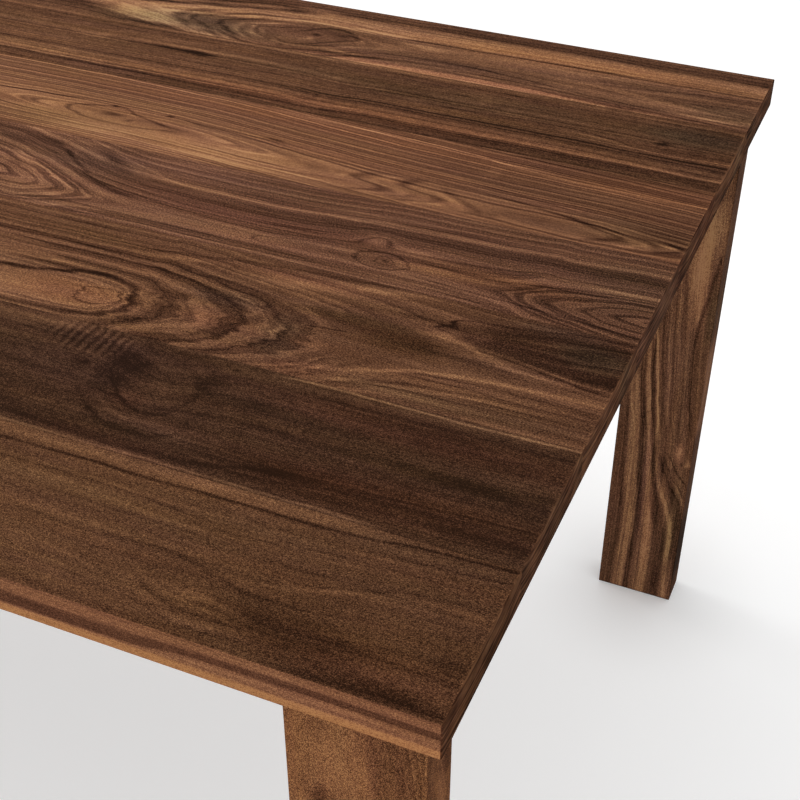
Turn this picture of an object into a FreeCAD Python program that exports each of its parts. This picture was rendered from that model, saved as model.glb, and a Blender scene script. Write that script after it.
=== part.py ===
"""Dining table: a board top on four plank legs, joined by a rail frame set back under the top.

Millimetres, +Z up. The origin is on the floor under the middle of the top. The boards run along X,
the front long side is at -Y, and left is -X. Every piece is written to parts/NAME.step.
"""
import FreeCAD, Part
import math
import os

# ---- Driving sizes -------------------------------------------------------------------------

# Top
TABLE_HEIGHT = 762.0
TOP_LENGTH = 1829.0
TOP_WIDTH = 988.0
TOP_THICKNESS = 31.0
BOARD_WIDTHS = (143.0, 137.0, 151.0, 135.0, 141.0, 139.0, 142.0)  # front to rear, before trimming
TOP_EASE = 1.0                  # radius of the eased arrises of the top

# Legs: planks with their wide face towards the long sides of the top
LEG_WIDTH = 102.0               # along X
LEG_THICKNESS = 43.5            # along Y
LEG_END_INSET = 14.0            # from the end of the top to the leg
LEG_SIDE_INSET = 14.0           # from the long edge of the top to the leg
LEG_EASE = 1.0

# Rail frame
RAIL_DEPTH = 70.0
RAIL_THICKNESS = 22.0
RAIL_EASE = 2.0                 # radius of the eased lower arrises
RAIL_END_INSET = 8.0            # from the leg's outer edge to the end of a long rail
END_RAIL_GAP = 14.0             # from the leg's inner edge to the end rail
MIDDLE_RAIL_COUNT = 2
TENON_LENGTH = 12.0
TENON_THICKNESS = 8.0
TENON_SHOULDER = 12.0           # above and below the tenon
TENON_CLEARANCE = 0.15          # on each cheek, above and below
MORTISE_END_GAP = 0.5           # beyond the tenon's end

# Leg fixings: socket screw, washer and threaded insert
BOLT_DIAMETER = 8.0
BOLT_HEAD_DIAMETER = 13.0
BOLT_HEAD_HEIGHT = 8.0
BOLT_HEAD_EASE = 0.6
SOCKET_ACROSS_FLATS = 6.0
SOCKET_DEPTH = 4.0
BOLT_END_GAP = 2.0              # from the bolt's end to the insert's end
BOLT_EDGE_DISTANCE = 24.0       # from the leg's side edge to the bolt's axis
BOLT_HOLE_CLEARANCE = 0.5       # on the radius, in rail and washer
WASHER_DIAMETER = 24.0
WASHER_THICKNESS = 2.0
INSERT_DIAMETER = 12.0
INSERT_LENGTH = 22.0
INSERT_CLEARANCE = 0.1          # on the radius, in the leg and around the bolt
INSERT_END_GAP = 2.0            # of the leg's hole beyond the insert

# Top fixings: Z clips of bent strip, each held by one screw
CLIP_WIDTH = 20.0
CLIP_THICKNESS = 2.0
CLIP_TONGUE = 8.0               # length inside the rail's slot
CLIP_DROP = 10.0                # from the underside of the top to the tongue
CLIP_STANDOFF = 1.5             # from the rail's face to the clip's upright
CLIP_FOOT = 22.0                # length against the top
CLIP_SCREW_REACH = 13.0         # from the clip's upright to its screw
CLIP_HOLE_CLEARANCE = 0.3       # on the radius
CLIPS_PER_BAY = 2
CLIPS_PER_CROSS_RAIL = 2
SLOT_CLEARANCE = 0.5            # under the tongue
SLOT_SIDE_GAP = 3.0             # beside the tongue, at each side
SLOT_END_GAP = 2.0              # beyond the tongue's end

# Wood screws
SCREW_DIAMETER = 4.0
SCREW_HEAD_DIAMETER = 8.0
SCREW_HEAD_HEIGHT = 2.5
SCREW_TIP = 4.0                 # length of the pointed end
SCREW_DRIVE_WIDTH = 2.4         # side of the square recess
SCREW_DRIVE_DEPTH = 1.6
SCREW_CLEARANCE = 0.1           # on the radius, in wood
CLIP_SCREW_BITE = 14.0          # length inside the top
CORNER_SCREW_BITE = 15.0        # length inside a rail

# Corner blocks
BLOCK_LEG = 55.0                # length along each rail
BLOCK_MARGIN = 10.0             # between the block and the rail's upper and lower edges
BLOCK_SCREW_OFFSET = 18.0       # from the corner to the screw's axis
BLOCK_SCREW_SEAT = 14.0         # from the rail to the screw's head
BLOCK_SCREW_STEP = 10.0         # above and below the block's middle
BLOCK_COUNTERBORE_GAP = 1.0     # around the screw's head

# Foot glides, each held by one nail
GLIDE_DIAMETER = 30.0
GLIDE_HEIGHT = 6.0
GLIDE_PROUD = 1.0               # below the foot
GLIDE_EASE = 0.8
GLIDE_EDGE_MARGIN = 8.0         # from the leg's side edge to the glide
GLIDE_CLEARANCE = 0.3           # on the radius, in the foot
NAIL_DIAMETER = 3.0
NAIL_LENGTH = 16.0
NAIL_HEAD_DIAMETER = 7.0
NAIL_HEAD_HEIGHT = 1.2
NAIL_RECESS = 2.5               # depth of the head below the glide's face
NAIL_CLEARANCE = 0.1            # on the radius

# ---- Sizes and places that follow from them ------------------------------------------------

BOARD_TRIM = (sum(BOARD_WIDTHS) - TOP_WIDTH) / len(BOARD_WIDTHS)  # taken off each board
TOP_END_X = TOP_LENGTH / 2
TOP_SIDE_Y = TOP_WIDTH / 2
UNDERSIDE_Z = TABLE_HEIGHT - TOP_THICKNESS
FOOT_Z = GLIDE_PROUD

LEG_OUTER_X = TOP_END_X - LEG_END_INSET
LEG_MIDDLE_X = LEG_OUTER_X - LEG_WIDTH / 2
LEG_INNER_X = LEG_OUTER_X - LEG_WIDTH
LEG_OUTER_Y = TOP_SIDE_Y - LEG_SIDE_INSET
LEG_MIDDLE_Y = LEG_OUTER_Y - LEG_THICKNESS / 2
LEG_INNER_Y = LEG_OUTER_Y - LEG_THICKNESS

RAIL_END_X = LEG_OUTER_X - RAIL_END_INSET
RAIL_INNER_Y = LEG_INNER_Y - RAIL_THICKNESS
RAIL_BOTTOM_Z = UNDERSIDE_Z - RAIL_DEPTH
RAIL_MIDDLE_Z = UNDERSIDE_Z - RAIL_DEPTH / 2
END_RAIL_X = LEG_INNER_X - END_RAIL_GAP - RAIL_THICKNESS / 2
CORNER_X = END_RAIL_X - RAIL_THICKNESS / 2

BOLT_OFFSET = LEG_WIDTH / 2 - BOLT_EDGE_DISTANCE
BOLT_LENGTH = WASHER_THICKNESS + RAIL_THICKNESS + INSERT_LENGTH - BOLT_END_GAP
GLIDE_OFFSET = LEG_WIDTH / 2 - GLIDE_EDGE_MARGIN - GLIDE_DIAMETER / 2
CLIP_SCREW_FROM_RAIL = CLIP_STANDOFF + CLIP_SCREW_REACH

RIGHT = FreeCAD.Vector(1, 0, 0)
REAR = FreeCAD.Vector(0, 1, 0)
UP = FreeCAD.Vector(0, 0, 1)
SIDES = {"left": -1, "right": 1}
ROWS = {"front": -1, "rear": 1}
HALF_TURN = 180.0
QUARTER_TURN = 90.0

CORNERS = [(side, row) for row in ROWS.values() for side in SIDES.values()]


# ---- Helpers -------------------------------------------------------------------------------

def block(x_span, y_span, z_span):
    """Box between two values along each axis, in either order."""
    low = [min(span) for span in (x_span, y_span, z_span)]
    size = [abs(span[1] - span[0]) for span in (x_span, y_span, z_span)]
    return Part.makeBox(*size, FreeCAD.Vector(*low))


def rod(radius, length, start=0.0):
    """Cylinder along +Z that starts at the given height."""
    return Part.makeCylinder(radius, length, FreeCAD.Vector(0, 0, start))


def pointed(shape, point, direction):
    """Copy of a shape that was made along +Z, set at a point and turned to a direction."""
    copy = shape.copy()
    copy.Placement = FreeCAD.Placement(point, FreeCAD.Rotation(UP, direction))
    return copy


def turned(shape, point, degrees):
    """Copy of a shape that faces +X, turned about the vertical and set at a point."""
    copy = shape.copy()
    copy.Placement = FreeCAD.Placement(point, FreeCAD.Rotation(UP, degrees))
    return copy


def edges_where(shape, test):
    """Edges of a shape whose bounding box passes a test."""
    return [edge for edge in shape.Edges if test(edge.BoundBox)]


def cut_all(shape, tools):
    """Shape less those tools that reach into it."""
    near = [tool for tool in tools if shape.BoundBox.intersect(tool.BoundBox)]
    return shape.cut(near) if near else shape


# ---- Fasteners and fittings, each made along +Z or facing +X ---------------------------------

def wood_screw(length):
    """Pan head screw: the head's seat is at the origin and the point is towards +Z."""
    radius = SCREW_DIAMETER / 2
    head = rod(SCREW_HEAD_DIAMETER / 2, SCREW_HEAD_HEIGHT, -SCREW_HEAD_HEIGHT)
    shank = rod(radius, length - SCREW_TIP)
    tip_start = FreeCAD.Vector(0, 0, length - SCREW_TIP)
    tip = Part.makeCone(radius, 0, SCREW_TIP, tip_start)
    half = SCREW_DRIVE_WIDTH / 2
    recess = block((-half, half), (-half, half), (-SCREW_HEAD_HEIGHT, SCREW_DRIVE_DEPTH - SCREW_HEAD_HEIGHT))
    return head.fuse([shank, tip]).cut(recess).removeSplitter()


def pilot_hole(length):
    """Space of a wood screw's shank and point, from the head's seat."""
    return rod(SCREW_DIAMETER / 2 + SCREW_CLEARANCE, length + SCREW_CLEARANCE)


def leg_bolt():
    """Socket head screw: the head's seat is at the origin."""
    head = rod(BOLT_HEAD_DIAMETER / 2, BOLT_HEAD_HEIGHT, -BOLT_HEAD_HEIGHT)
    rim = edges_where(head, lambda b: b.ZMax < -BOLT_HEAD_HEIGHT / 2)
    head = head.makeFillet(BOLT_HEAD_EASE, rim)
    corner = SOCKET_ACROSS_FLATS / 2 / math.cos(math.pi / 6)
    angles = [math.pi * i / 3 for i in range(7)]
    points = [FreeCAD.Vector(corner * math.cos(a), corner * math.sin(a), -BOLT_HEAD_HEIGHT) for a in angles]
    socket = Part.Face(Part.makePolygon(points)).extrude(UP * SOCKET_DEPTH)
    shank = rod(BOLT_DIAMETER / 2, BOLT_LENGTH)
    return head.cut(socket).fuse(shank).removeSplitter()


def leg_washer():
    """Flat washer that lies on the origin and reaches down to -Z."""
    disc = rod(WASHER_DIAMETER / 2, WASHER_THICKNESS, -WASHER_THICKNESS)
    return disc.cut(rod(BOLT_DIAMETER / 2 + BOLT_HOLE_CLEARANCE, WASHER_THICKNESS, -WASHER_THICKNESS))


def leg_insert():
    """Threaded insert, with its mouth at the origin."""
    body = rod(INSERT_DIAMETER / 2, INSERT_LENGTH)
    return body.cut(rod(BOLT_DIAMETER / 2 + INSERT_CLEARANCE, INSERT_LENGTH))


def top_clip():
    """Z clip: the rail's face is at X = 0 and the underside of the top at Z = 0."""
    t = CLIP_THICKNESS
    end = CLIP_STANDOFF + CLIP_FOOT
    outline = [
        (-CLIP_TONGUE, -CLIP_DROP - t),
        (CLIP_STANDOFF + t, -CLIP_DROP - t),
        (CLIP_STANDOFF + t, -t),
        (end, -t),
        (end, 0),
        (CLIP_STANDOFF, 0),
        (CLIP_STANDOFF, -CLIP_DROP),
        (-CLIP_TONGUE, -CLIP_DROP),
    ]
    points = [FreeCAD.Vector(x, -CLIP_WIDTH / 2, z) for x, z in outline + outline[:1]]
    strip = Part.Face(Part.makePolygon(points)).extrude(REAR * CLIP_WIDTH)
    hole = rod(SCREW_DIAMETER / 2 + CLIP_HOLE_CLEARANCE, t, -t)
    hole.translate(RIGHT * CLIP_SCREW_FROM_RAIL)
    return strip.cut(hole)


def clip_slot():
    """Space of a clip's tongue in a rail, in the clip's own frame."""
    half = CLIP_WIDTH / 2 + SLOT_SIDE_GAP
    floor = -CLIP_DROP - CLIP_THICKNESS - SLOT_CLEARANCE
    return block((-CLIP_TONGUE - SLOT_END_GAP, 0), (-half, half), (floor, -CLIP_DROP))


def foot_glide():
    """Cupped disc: its upper face is at the origin and its wearing face below it."""
    disc = rod(GLIDE_DIAMETER / 2, GLIDE_HEIGHT, -GLIDE_HEIGHT)
    rim = edges_where(disc, lambda b: b.ZMax < -GLIDE_HEIGHT / 2)
    disc = disc.makeFillet(GLIDE_EASE, rim)
    cup = rod(NAIL_HEAD_DIAMETER / 2 + NAIL_CLEARANCE, NAIL_RECESS + NAIL_HEAD_HEIGHT, -GLIDE_HEIGHT)
    hole = rod(NAIL_DIAMETER / 2 + NAIL_CLEARANCE, GLIDE_HEIGHT, -GLIDE_HEIGHT)
    return disc.cut([cup, hole])


def glide_nail():
    """Nail in the glide's frame: its head lies in the cup and its shank points up."""
    head_bottom = NAIL_RECESS - GLIDE_HEIGHT
    head = rod(NAIL_HEAD_DIAMETER / 2, NAIL_HEAD_HEIGHT, head_bottom)
    return head.fuse(rod(NAIL_DIAMETER / 2, NAIL_LENGTH, head_bottom)).removeSplitter()


# ---- Places of what repeats ------------------------------------------------------------------

def middles(count, low, high):
    """Middles of the equal parts of a span."""
    step = (high - low) / count
    return [low + step * (i + 0.5) for i in range(count)]


def bolt_places():
    """(x, row) of each leg bolt, where row is -1 at the front and 1 at the rear."""
    return [
        (side * LEG_MIDDLE_X + offset, row)
        for side, row in CORNERS
        for offset in (-BOLT_OFFSET, BOLT_OFFSET)
    ]


def glide_places():
    """Middle of each glide's upper face."""
    seat = FOOT_Z + GLIDE_HEIGHT - GLIDE_PROUD
    return [
        FreeCAD.Vector(side * LEG_MIDDLE_X + offset, row * LEG_MIDDLE_Y, seat)
        for side, row in CORNERS
        for offset in (-GLIDE_OFFSET, GLIDE_OFFSET)
    ]


def cross_rail_places():
    """X of each rail that crosses the table, from left to right."""
    steps = MIDDLE_RAIL_COUNT + 1
    return [END_RAIL_X * (2 * i / steps - 1) for i in range(steps + 1)]


def clip_places():
    """(point on the rail's face under the top, turn) of each clip."""
    rails = cross_rail_places()
    places = []
    for left, right in zip(rails, rails[1:]):
        for x in middles(CLIPS_PER_BAY, left, right):
            places.append((FreeCAD.Vector(x, -RAIL_INNER_Y, UNDERSIDE_Z), QUARTER_TURN))
            places.append((FreeCAD.Vector(x, RAIL_INNER_Y, UNDERSIDE_Z), -QUARTER_TURN))
    for x in rails:
        inward = -1 if x > 0 else 1
        turn = 0.0 if x < 0 else HALF_TURN
        for y in middles(CLIPS_PER_CROSS_RAIL, -RAIL_INNER_Y, RAIL_INNER_Y):
            places.append((FreeCAD.Vector(x + inward * RAIL_THICKNESS / 2, y, UNDERSIDE_Z), turn))
    return places


def clip_screw_places():
    """Seat of each clip's screw, on the clip's lower face."""
    places = []
    for point, turn in clip_places():
        reach = FreeCAD.Rotation(UP, turn).multVec(RIGHT) * CLIP_SCREW_FROM_RAIL
        places.append(point + reach - UP * CLIP_THICKNESS)
    return places


def corner_screw_places():
    """(seat, direction) of the two screws in each corner block."""
    places = []
    for side, row in CORNERS:
        corner = FreeCAD.Vector(side * CORNER_X, row * RAIL_INNER_Y, RAIL_MIDDLE_Z)
        into_long = corner - RIGHT * side * BLOCK_SCREW_OFFSET - REAR * row * BLOCK_SCREW_SEAT
        into_end = corner - RIGHT * side * BLOCK_SCREW_SEAT - REAR * row * BLOCK_SCREW_OFFSET
        places.append((into_long + UP * BLOCK_SCREW_STEP, REAR * row))
        places.append((into_end - UP * BLOCK_SCREW_STEP, RIGHT * side))
    return places


# ---- Wooden pieces ---------------------------------------------------------------------------

def clip_screw_holes():
    """Pilot holes in the underside of the top."""
    hole = pilot_hole(CLIP_THICKNESS + CLIP_SCREW_BITE)
    return [pointed(hole, seat, UP) for seat in clip_screw_places()]


def corner_screw_holes():
    """Holes of the corner block screws, in block and rails."""
    hole = pilot_hole(BLOCK_SCREW_SEAT + CORNER_SCREW_BITE)
    return [pointed(hole, seat, direction) for seat, direction in corner_screw_places()]


def clip_slots():
    """Slots of all the clips, in their rails."""
    slot = clip_slot()
    return [turned(slot, point, turn) for point, turn in clip_places()]


def top_boards():
    """Boards of the top, from front to rear, parted from one eased slab."""
    slab = block((-TOP_END_X, TOP_END_X), (-TOP_SIDE_Y, TOP_SIDE_Y), (UNDERSIDE_Z, TABLE_HEIGHT))
    slab = slab.makeFillet(TOP_EASE, slab.Edges)
    holes = clip_screw_holes()
    boards = []
    front = -TOP_SIDE_Y
    for width in BOARD_WIDTHS:
        rear = front + width - BOARD_TRIM
        share = block((-TOP_END_X, TOP_END_X), (front, rear), (UNDERSIDE_Z, TABLE_HEIGHT))
        boards.append(cut_all(slab.common(share), holes))
        front = rear
    return boards


def leg(side, row):
    """Plank leg with holes for its inserts and recesses for its glides."""
    plank = block(
        (side * LEG_INNER_X, side * LEG_OUTER_X),
        (row * LEG_INNER_Y, row * LEG_OUTER_Y),
        (FOOT_Z, UNDERSIDE_Z),
    )
    eased = edges_where(plank, lambda b: b.ZMin < UNDERSIDE_Z - LEG_EASE)
    plank = plank.makeFillet(LEG_EASE, eased)
    insert_hole = rod(INSERT_DIAMETER / 2 + INSERT_CLEARANCE, INSERT_LENGTH + INSERT_END_GAP)
    glide_recess = rod(GLIDE_DIAMETER / 2 + GLIDE_CLEARANCE, GLIDE_HEIGHT, -GLIDE_HEIGHT)
    nail_reach = NAIL_LENGTH + NAIL_RECESS - GLIDE_HEIGHT
    nail_hole = rod(NAIL_DIAMETER / 2 + NAIL_CLEARANCE, nail_reach + NAIL_CLEARANCE)
    tools = [
        pointed(insert_hole, FreeCAD.Vector(x, r * LEG_INNER_Y, RAIL_MIDDLE_Z), REAR * r)
        for x, r in bolt_places()
    ]
    for place in glide_places():
        tools += [pointed(glide_recess, place, UP), pointed(nail_hole, place, UP)]
    return cut_all(plank, tools)


def tenon(x, row, grow=0.0, reach=0.0):
    """Tenon at one end of a cross rail, or its mortise when grown."""
    half = TENON_THICKNESS / 2 + grow
    start = row * RAIL_INNER_Y
    end = row * (RAIL_INNER_Y + TENON_LENGTH + reach)
    low = RAIL_BOTTOM_Z + TENON_SHOULDER - grow
    return block((x - half, x + half), (start, end), (low, UNDERSIDE_Z - TENON_SHOULDER + grow))


def long_rail(row):
    """Rail behind two legs, with bolt holes, mortises, slots and screw holes."""
    rail = block(
        (-RAIL_END_X, RAIL_END_X),
        (row * RAIL_INNER_Y, row * LEG_INNER_Y),
        (RAIL_BOTTOM_Z, UNDERSIDE_Z),
    )
    lower = edges_where(rail, lambda b: b.ZMax < RAIL_MIDDLE_Z)
    rail = rail.makeFillet(RAIL_EASE, lower)
    bolt_hole = rod(BOLT_DIAMETER / 2 + BOLT_HOLE_CLEARANCE, RAIL_THICKNESS)
    tools = [
        pointed(bolt_hole, FreeCAD.Vector(x, r * RAIL_INNER_Y, RAIL_MIDDLE_Z), REAR * r)
        for x, r in bolt_places()
    ]
    tools += [tenon(x, row, TENON_CLEARANCE, MORTISE_END_GAP) for x in cross_rail_places()]
    return cut_all(rail, tools + clip_slots() + corner_screw_holes())


def cross_rail(x):
    """Rail between the long rails, with a tenon at each end."""
    rail = block(
        (x - RAIL_THICKNESS / 2, x + RAIL_THICKNESS / 2),
        (-RAIL_INNER_Y, RAIL_INNER_Y),
        (RAIL_BOTTOM_Z, UNDERSIDE_Z),
    )
    lower = edges_where(rail, lambda b: b.ZMax < RAIL_MIDDLE_Z and b.YLength > b.XLength)
    rail = rail.makeFillet(RAIL_EASE, lower)
    rail = rail.fuse([tenon(x, row) for row in ROWS.values()]).removeSplitter()
    return cut_all(rail, clip_slots() + corner_screw_holes())


def corner_block(side, row):
    """Three-cornered block between a long rail and an end rail."""
    low = RAIL_BOTTOM_Z + BLOCK_MARGIN
    outline = [(0, 0), (BLOCK_LEG, 0), (0, BLOCK_LEG), (0, 0)]
    points = [
        FreeCAD.Vector(side * (CORNER_X - along), row * (RAIL_INNER_Y - across), low)
        for along, across in outline
    ]
    prism = Part.Face(Part.makePolygon(points)).extrude(UP * (RAIL_DEPTH - 2 * BLOCK_MARGIN))
    counterbore = rod(SCREW_HEAD_DIAMETER / 2 + BLOCK_COUNTERBORE_GAP, BLOCK_LEG, -BLOCK_LEG)
    tools = [pointed(counterbore, seat, direction) for seat, direction in corner_screw_places()]
    return cut_all(prism, tools + corner_screw_holes())


# ---- Groups of like fittings -----------------------------------------------------------------

def fitting_groups():
    """Name to solids of each group of like fittings."""
    bolt = leg_bolt()
    washer = leg_washer()
    insert = leg_insert()
    clip = top_clip()
    clip_screw = wood_screw(CLIP_THICKNESS + CLIP_SCREW_BITE)
    corner_screw = wood_screw(BLOCK_SCREW_SEAT + CORNER_SCREW_BITE)
    glide = foot_glide()
    nail = glide_nail()
    groups = {"leg_bolts": [], "leg_washers": [], "leg_inserts": []}
    for x, row in bolt_places():
        rail_face = FreeCAD.Vector(x, row * RAIL_INNER_Y, RAIL_MIDDLE_Z)
        leg_face = FreeCAD.Vector(x, row * LEG_INNER_Y, RAIL_MIDDLE_Z)
        groups["leg_bolts"].append(pointed(bolt, rail_face - REAR * row * WASHER_THICKNESS, REAR * row))
        groups["leg_washers"].append(pointed(washer, rail_face, REAR * row))
        groups["leg_inserts"].append(pointed(insert, leg_face, REAR * row))
    groups["top_clips"] = [turned(clip, point, turn) for point, turn in clip_places()]
    groups["clip_screws"] = [pointed(clip_screw, seat, UP) for seat in clip_screw_places()]
    groups["corner_screws"] = [pointed(corner_screw, seat, way) for seat, way in corner_screw_places()]
    groups["foot_glides"] = [pointed(glide, place, UP) for place in glide_places()]
    groups["glide_nails"] = [pointed(nail, place, UP) for place in glide_places()]
    return groups


# ---- The table -------------------------------------------------------------------------------

def table_pieces():
    """Name to solids of every piece of the table."""
    pieces = {}
    for number, board in enumerate(top_boards(), start=1):
        pieces[f"top_board_{number}"] = [board]
    for row_name, row in ROWS.items():
        pieces[f"long_rail_{row_name}"] = [long_rail(row)]
        for side_name, side in SIDES.items():
            pieces[f"leg_{row_name}_{side_name}"] = [leg(side, row)]
            pieces[f"corner_block_{row_name}_{side_name}"] = [corner_block(side, row)]
    cross_rails = [cross_rail(x) for x in cross_rail_places()]
    pieces["end_rail_left"] = [cross_rails[0]]
    pieces["end_rail_right"] = [cross_rails[-1]]
    for number, rail in enumerate(cross_rails[1:-1], start=1):
        pieces[f"middle_rail_{number}"] = [rail]
    pieces.update(fitting_groups())
    return pieces


def write_pieces(pieces):
    """Write one STEP file for each piece or group."""
    os.makedirs("parts", exist_ok=True)
    for name, solids in pieces.items():
        shape = solids[0] if len(solids) == 1 else Part.makeCompound(solids)
        shape.exportStep(f"parts/{name}.step")


write_pieces(table_pieces())
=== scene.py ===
"""A walnut dining table: a board top, plank legs, a rail frame and fittings, on a plain stage."""
import math

import bpy
from bpy.props import FloatProperty, FloatVectorProperty, PointerProperty
from bpy.types import Operator, Panel, PropertyGroup
from bpy.utils import register_class, unregister_class
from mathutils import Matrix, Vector


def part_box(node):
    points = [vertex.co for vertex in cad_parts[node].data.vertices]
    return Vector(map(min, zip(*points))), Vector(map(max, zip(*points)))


bl_info = {
    "name": "Walnut dining table",
    "version": (1, 0, 0),
    "blender": (4, 5, 0),
    "location": "3D View > Sidebar > Table",
    "description": "Finishes a walnut dining table piece by piece and sets it on a plain stage",
    "category": "Object",
}

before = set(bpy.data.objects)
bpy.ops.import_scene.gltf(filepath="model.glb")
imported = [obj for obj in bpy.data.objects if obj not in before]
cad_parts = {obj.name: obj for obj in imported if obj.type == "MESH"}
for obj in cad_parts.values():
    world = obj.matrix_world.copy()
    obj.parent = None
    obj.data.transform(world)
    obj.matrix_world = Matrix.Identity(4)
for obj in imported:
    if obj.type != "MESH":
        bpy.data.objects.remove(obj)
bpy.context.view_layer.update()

# The finishes work in millimetres, the stage in metres. Figure on the top is measured from its front right
# corner, so a place along the boards is negative and a place across them runs from 0 at the front edge to
# the rear edge.
MM = 1000.0
TOP_LOW, TOP_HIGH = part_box("top_board_1")[0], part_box("top_board_7")[1]
TOP_RIGHT = TOP_HIGH.x * MM
TOP_FRONT = TOP_LOW.y * MM
TOP_HEIGHT = TOP_HIGH.z * MM
TOP_WIDTH = (TOP_HIGH.y - TOP_LOW.y) * MM


def paint(red, green, blue):
    """A colour as it is seen, in parts of 255, as the shaders take it."""
    shares = [part / 255 for part in (red, green, blue)]
    return tuple(part / 12.92 if part < 0.04 else ((part + 0.055) / 1.055) ** 2.4 for part in shares)


# ---------------------------------------------------------------------------------------------------------
# Sizes and colours that a user would change
# ---------------------------------------------------------------------------------------------------------


def colour_prop(name, description, red, green, blue):
    return FloatVectorProperty(
        name=name,
        description=description,
        subtype="COLOR",
        size=3,
        min=0.0,
        max=1.0,
        default=paint(red, green, blue),
    )


class WalnutColours(PropertyGroup):
    """The oiled walnut of the top, the legs and the frame."""

    knot: colour_prop("Knot", "Darkest heartwood, in knots and late rings", 38, 23, 15)
    dark: colour_prop("Dark heartwood", "Dark streaks", 60, 37, 26)
    brown: colour_prop("Brown", "Body of the heartwood", 86, 57, 40)
    warm: colour_prop("Warm brown", "Early wood of the heartwood", 108, 74, 53)
    tan: colour_prop("Tan", "Light streaks", 136, 95, 67)
    light: colour_prop("Light tan", "Wood close to the sapwood", 160, 115, 80)
    sapwood: colour_prop("Sapwood", "Palest streaks", 178, 134, 93)
    ring_gap: FloatProperty(
        name="Ring gap", description="Mean gap between growth rings, in mm", default=6.0, min=1.0, max=20.0
    )
    ring_contrast: FloatProperty(
        name="Ring contrast", description="How much the growth rings stand out", default=1.0, min=0.0, max=3.0
    )
    fibre_contrast: FloatProperty(
        name="Fibre contrast", description="How much the fibres stand out", default=1.0, min=0.0, max=3.0
    )
    sheen: FloatProperty(
        name="Roughness", description="Roughness of the oiled face", default=0.58, min=0.05, max=1.0
    )


class FittingColours(PropertyGroup):
    """Bolts, washers, clips, screws, inserts and glides."""

    zinc: colour_prop("Zinc", "Bright zinc plate", 196, 199, 204)
    oxide: colour_prop("Black oxide", "Black finish of the bolts", 40, 40, 42)
    brass: colour_prop("Brass", "Machined brass", 214, 184, 112)
    nylon: colour_prop("Nylon", "Moulded brown nylon", 96, 76, 60)


class StageSettings(PropertyGroup):
    """Floor, light and camera."""

    floor_colour: colour_prop("Floor", "Colour of the floor", 244, 244, 244)
    floor_glow: FloatProperty(
        name="Floor glow", description="Light the camera sees from the floor itself", default=0.28, min=0.0
    )
    sky: FloatProperty(name="Sky", description="Strength of the even light", default=0.8, min=0.0)
    lamp: FloatProperty(
        name="Lamp", description="Power of the large lamp over the table", default=22.0, min=0.0, unit="POWER"
    )
    fill: FloatProperty(
        name="Fill", description="Power of the lamp in front of the table", default=8.0, min=0.0, unit="POWER"
    )
    camera_place: FloatVectorProperty(
        name="Camera place",
        description="Where the camera stands",
        subtype="TRANSLATION",
        unit="LENGTH",
        size=3,
        precision=4,
        default=(1.10686, -1.01035, 1.42218),
    )
    camera_turn: FloatVectorProperty(
        name="Camera turn",
        description="How the camera is turned",
        subtype="EULER",
        unit="ROTATION",
        size=3,
        default=(math.radians(52.84445), math.radians(-0.118487), math.radians(23.176217)),
    )
    lens: FloatProperty(name="Lens", description="Focal length, in mm", default=63.66, min=10.0, max=300.0)


# ---------------------------------------------------------------------------------------------------------
# Shader sums
# ---------------------------------------------------------------------------------------------------------


class Wire:
    """One value in a finish, which can be used in a sum."""

    def __init__(self, finish, socket):
        self.finish = finish
        self.socket = socket

    def sum(self, kind, first, second=0.0):
        return self.finish.put("ShaderNodeMath", {"operation": kind}, {0: first, 1: second})

    def __add__(self, other):
        return self.sum("ADD", self, other)

    def __radd__(self, other):
        return self.sum("ADD", other, self)

    def __sub__(self, other):
        return self.sum("SUBTRACT", self, other)

    def __rsub__(self, other):
        return self.sum("SUBTRACT", other, self)

    def __mul__(self, other):
        return self.sum("MULTIPLY", self, other)

    def __rmul__(self, other):
        return self.sum("MULTIPLY", other, self)

    def __truediv__(self, other):
        return self.sum("DIVIDE", self, other)

    def __pow__(self, index):
        return self.sum("POWER", self, index)

    def __abs__(self):
        return self.sum("ABSOLUTE", self)

    def least(self, other):
        return self.sum("MINIMUM", self, other)


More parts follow.
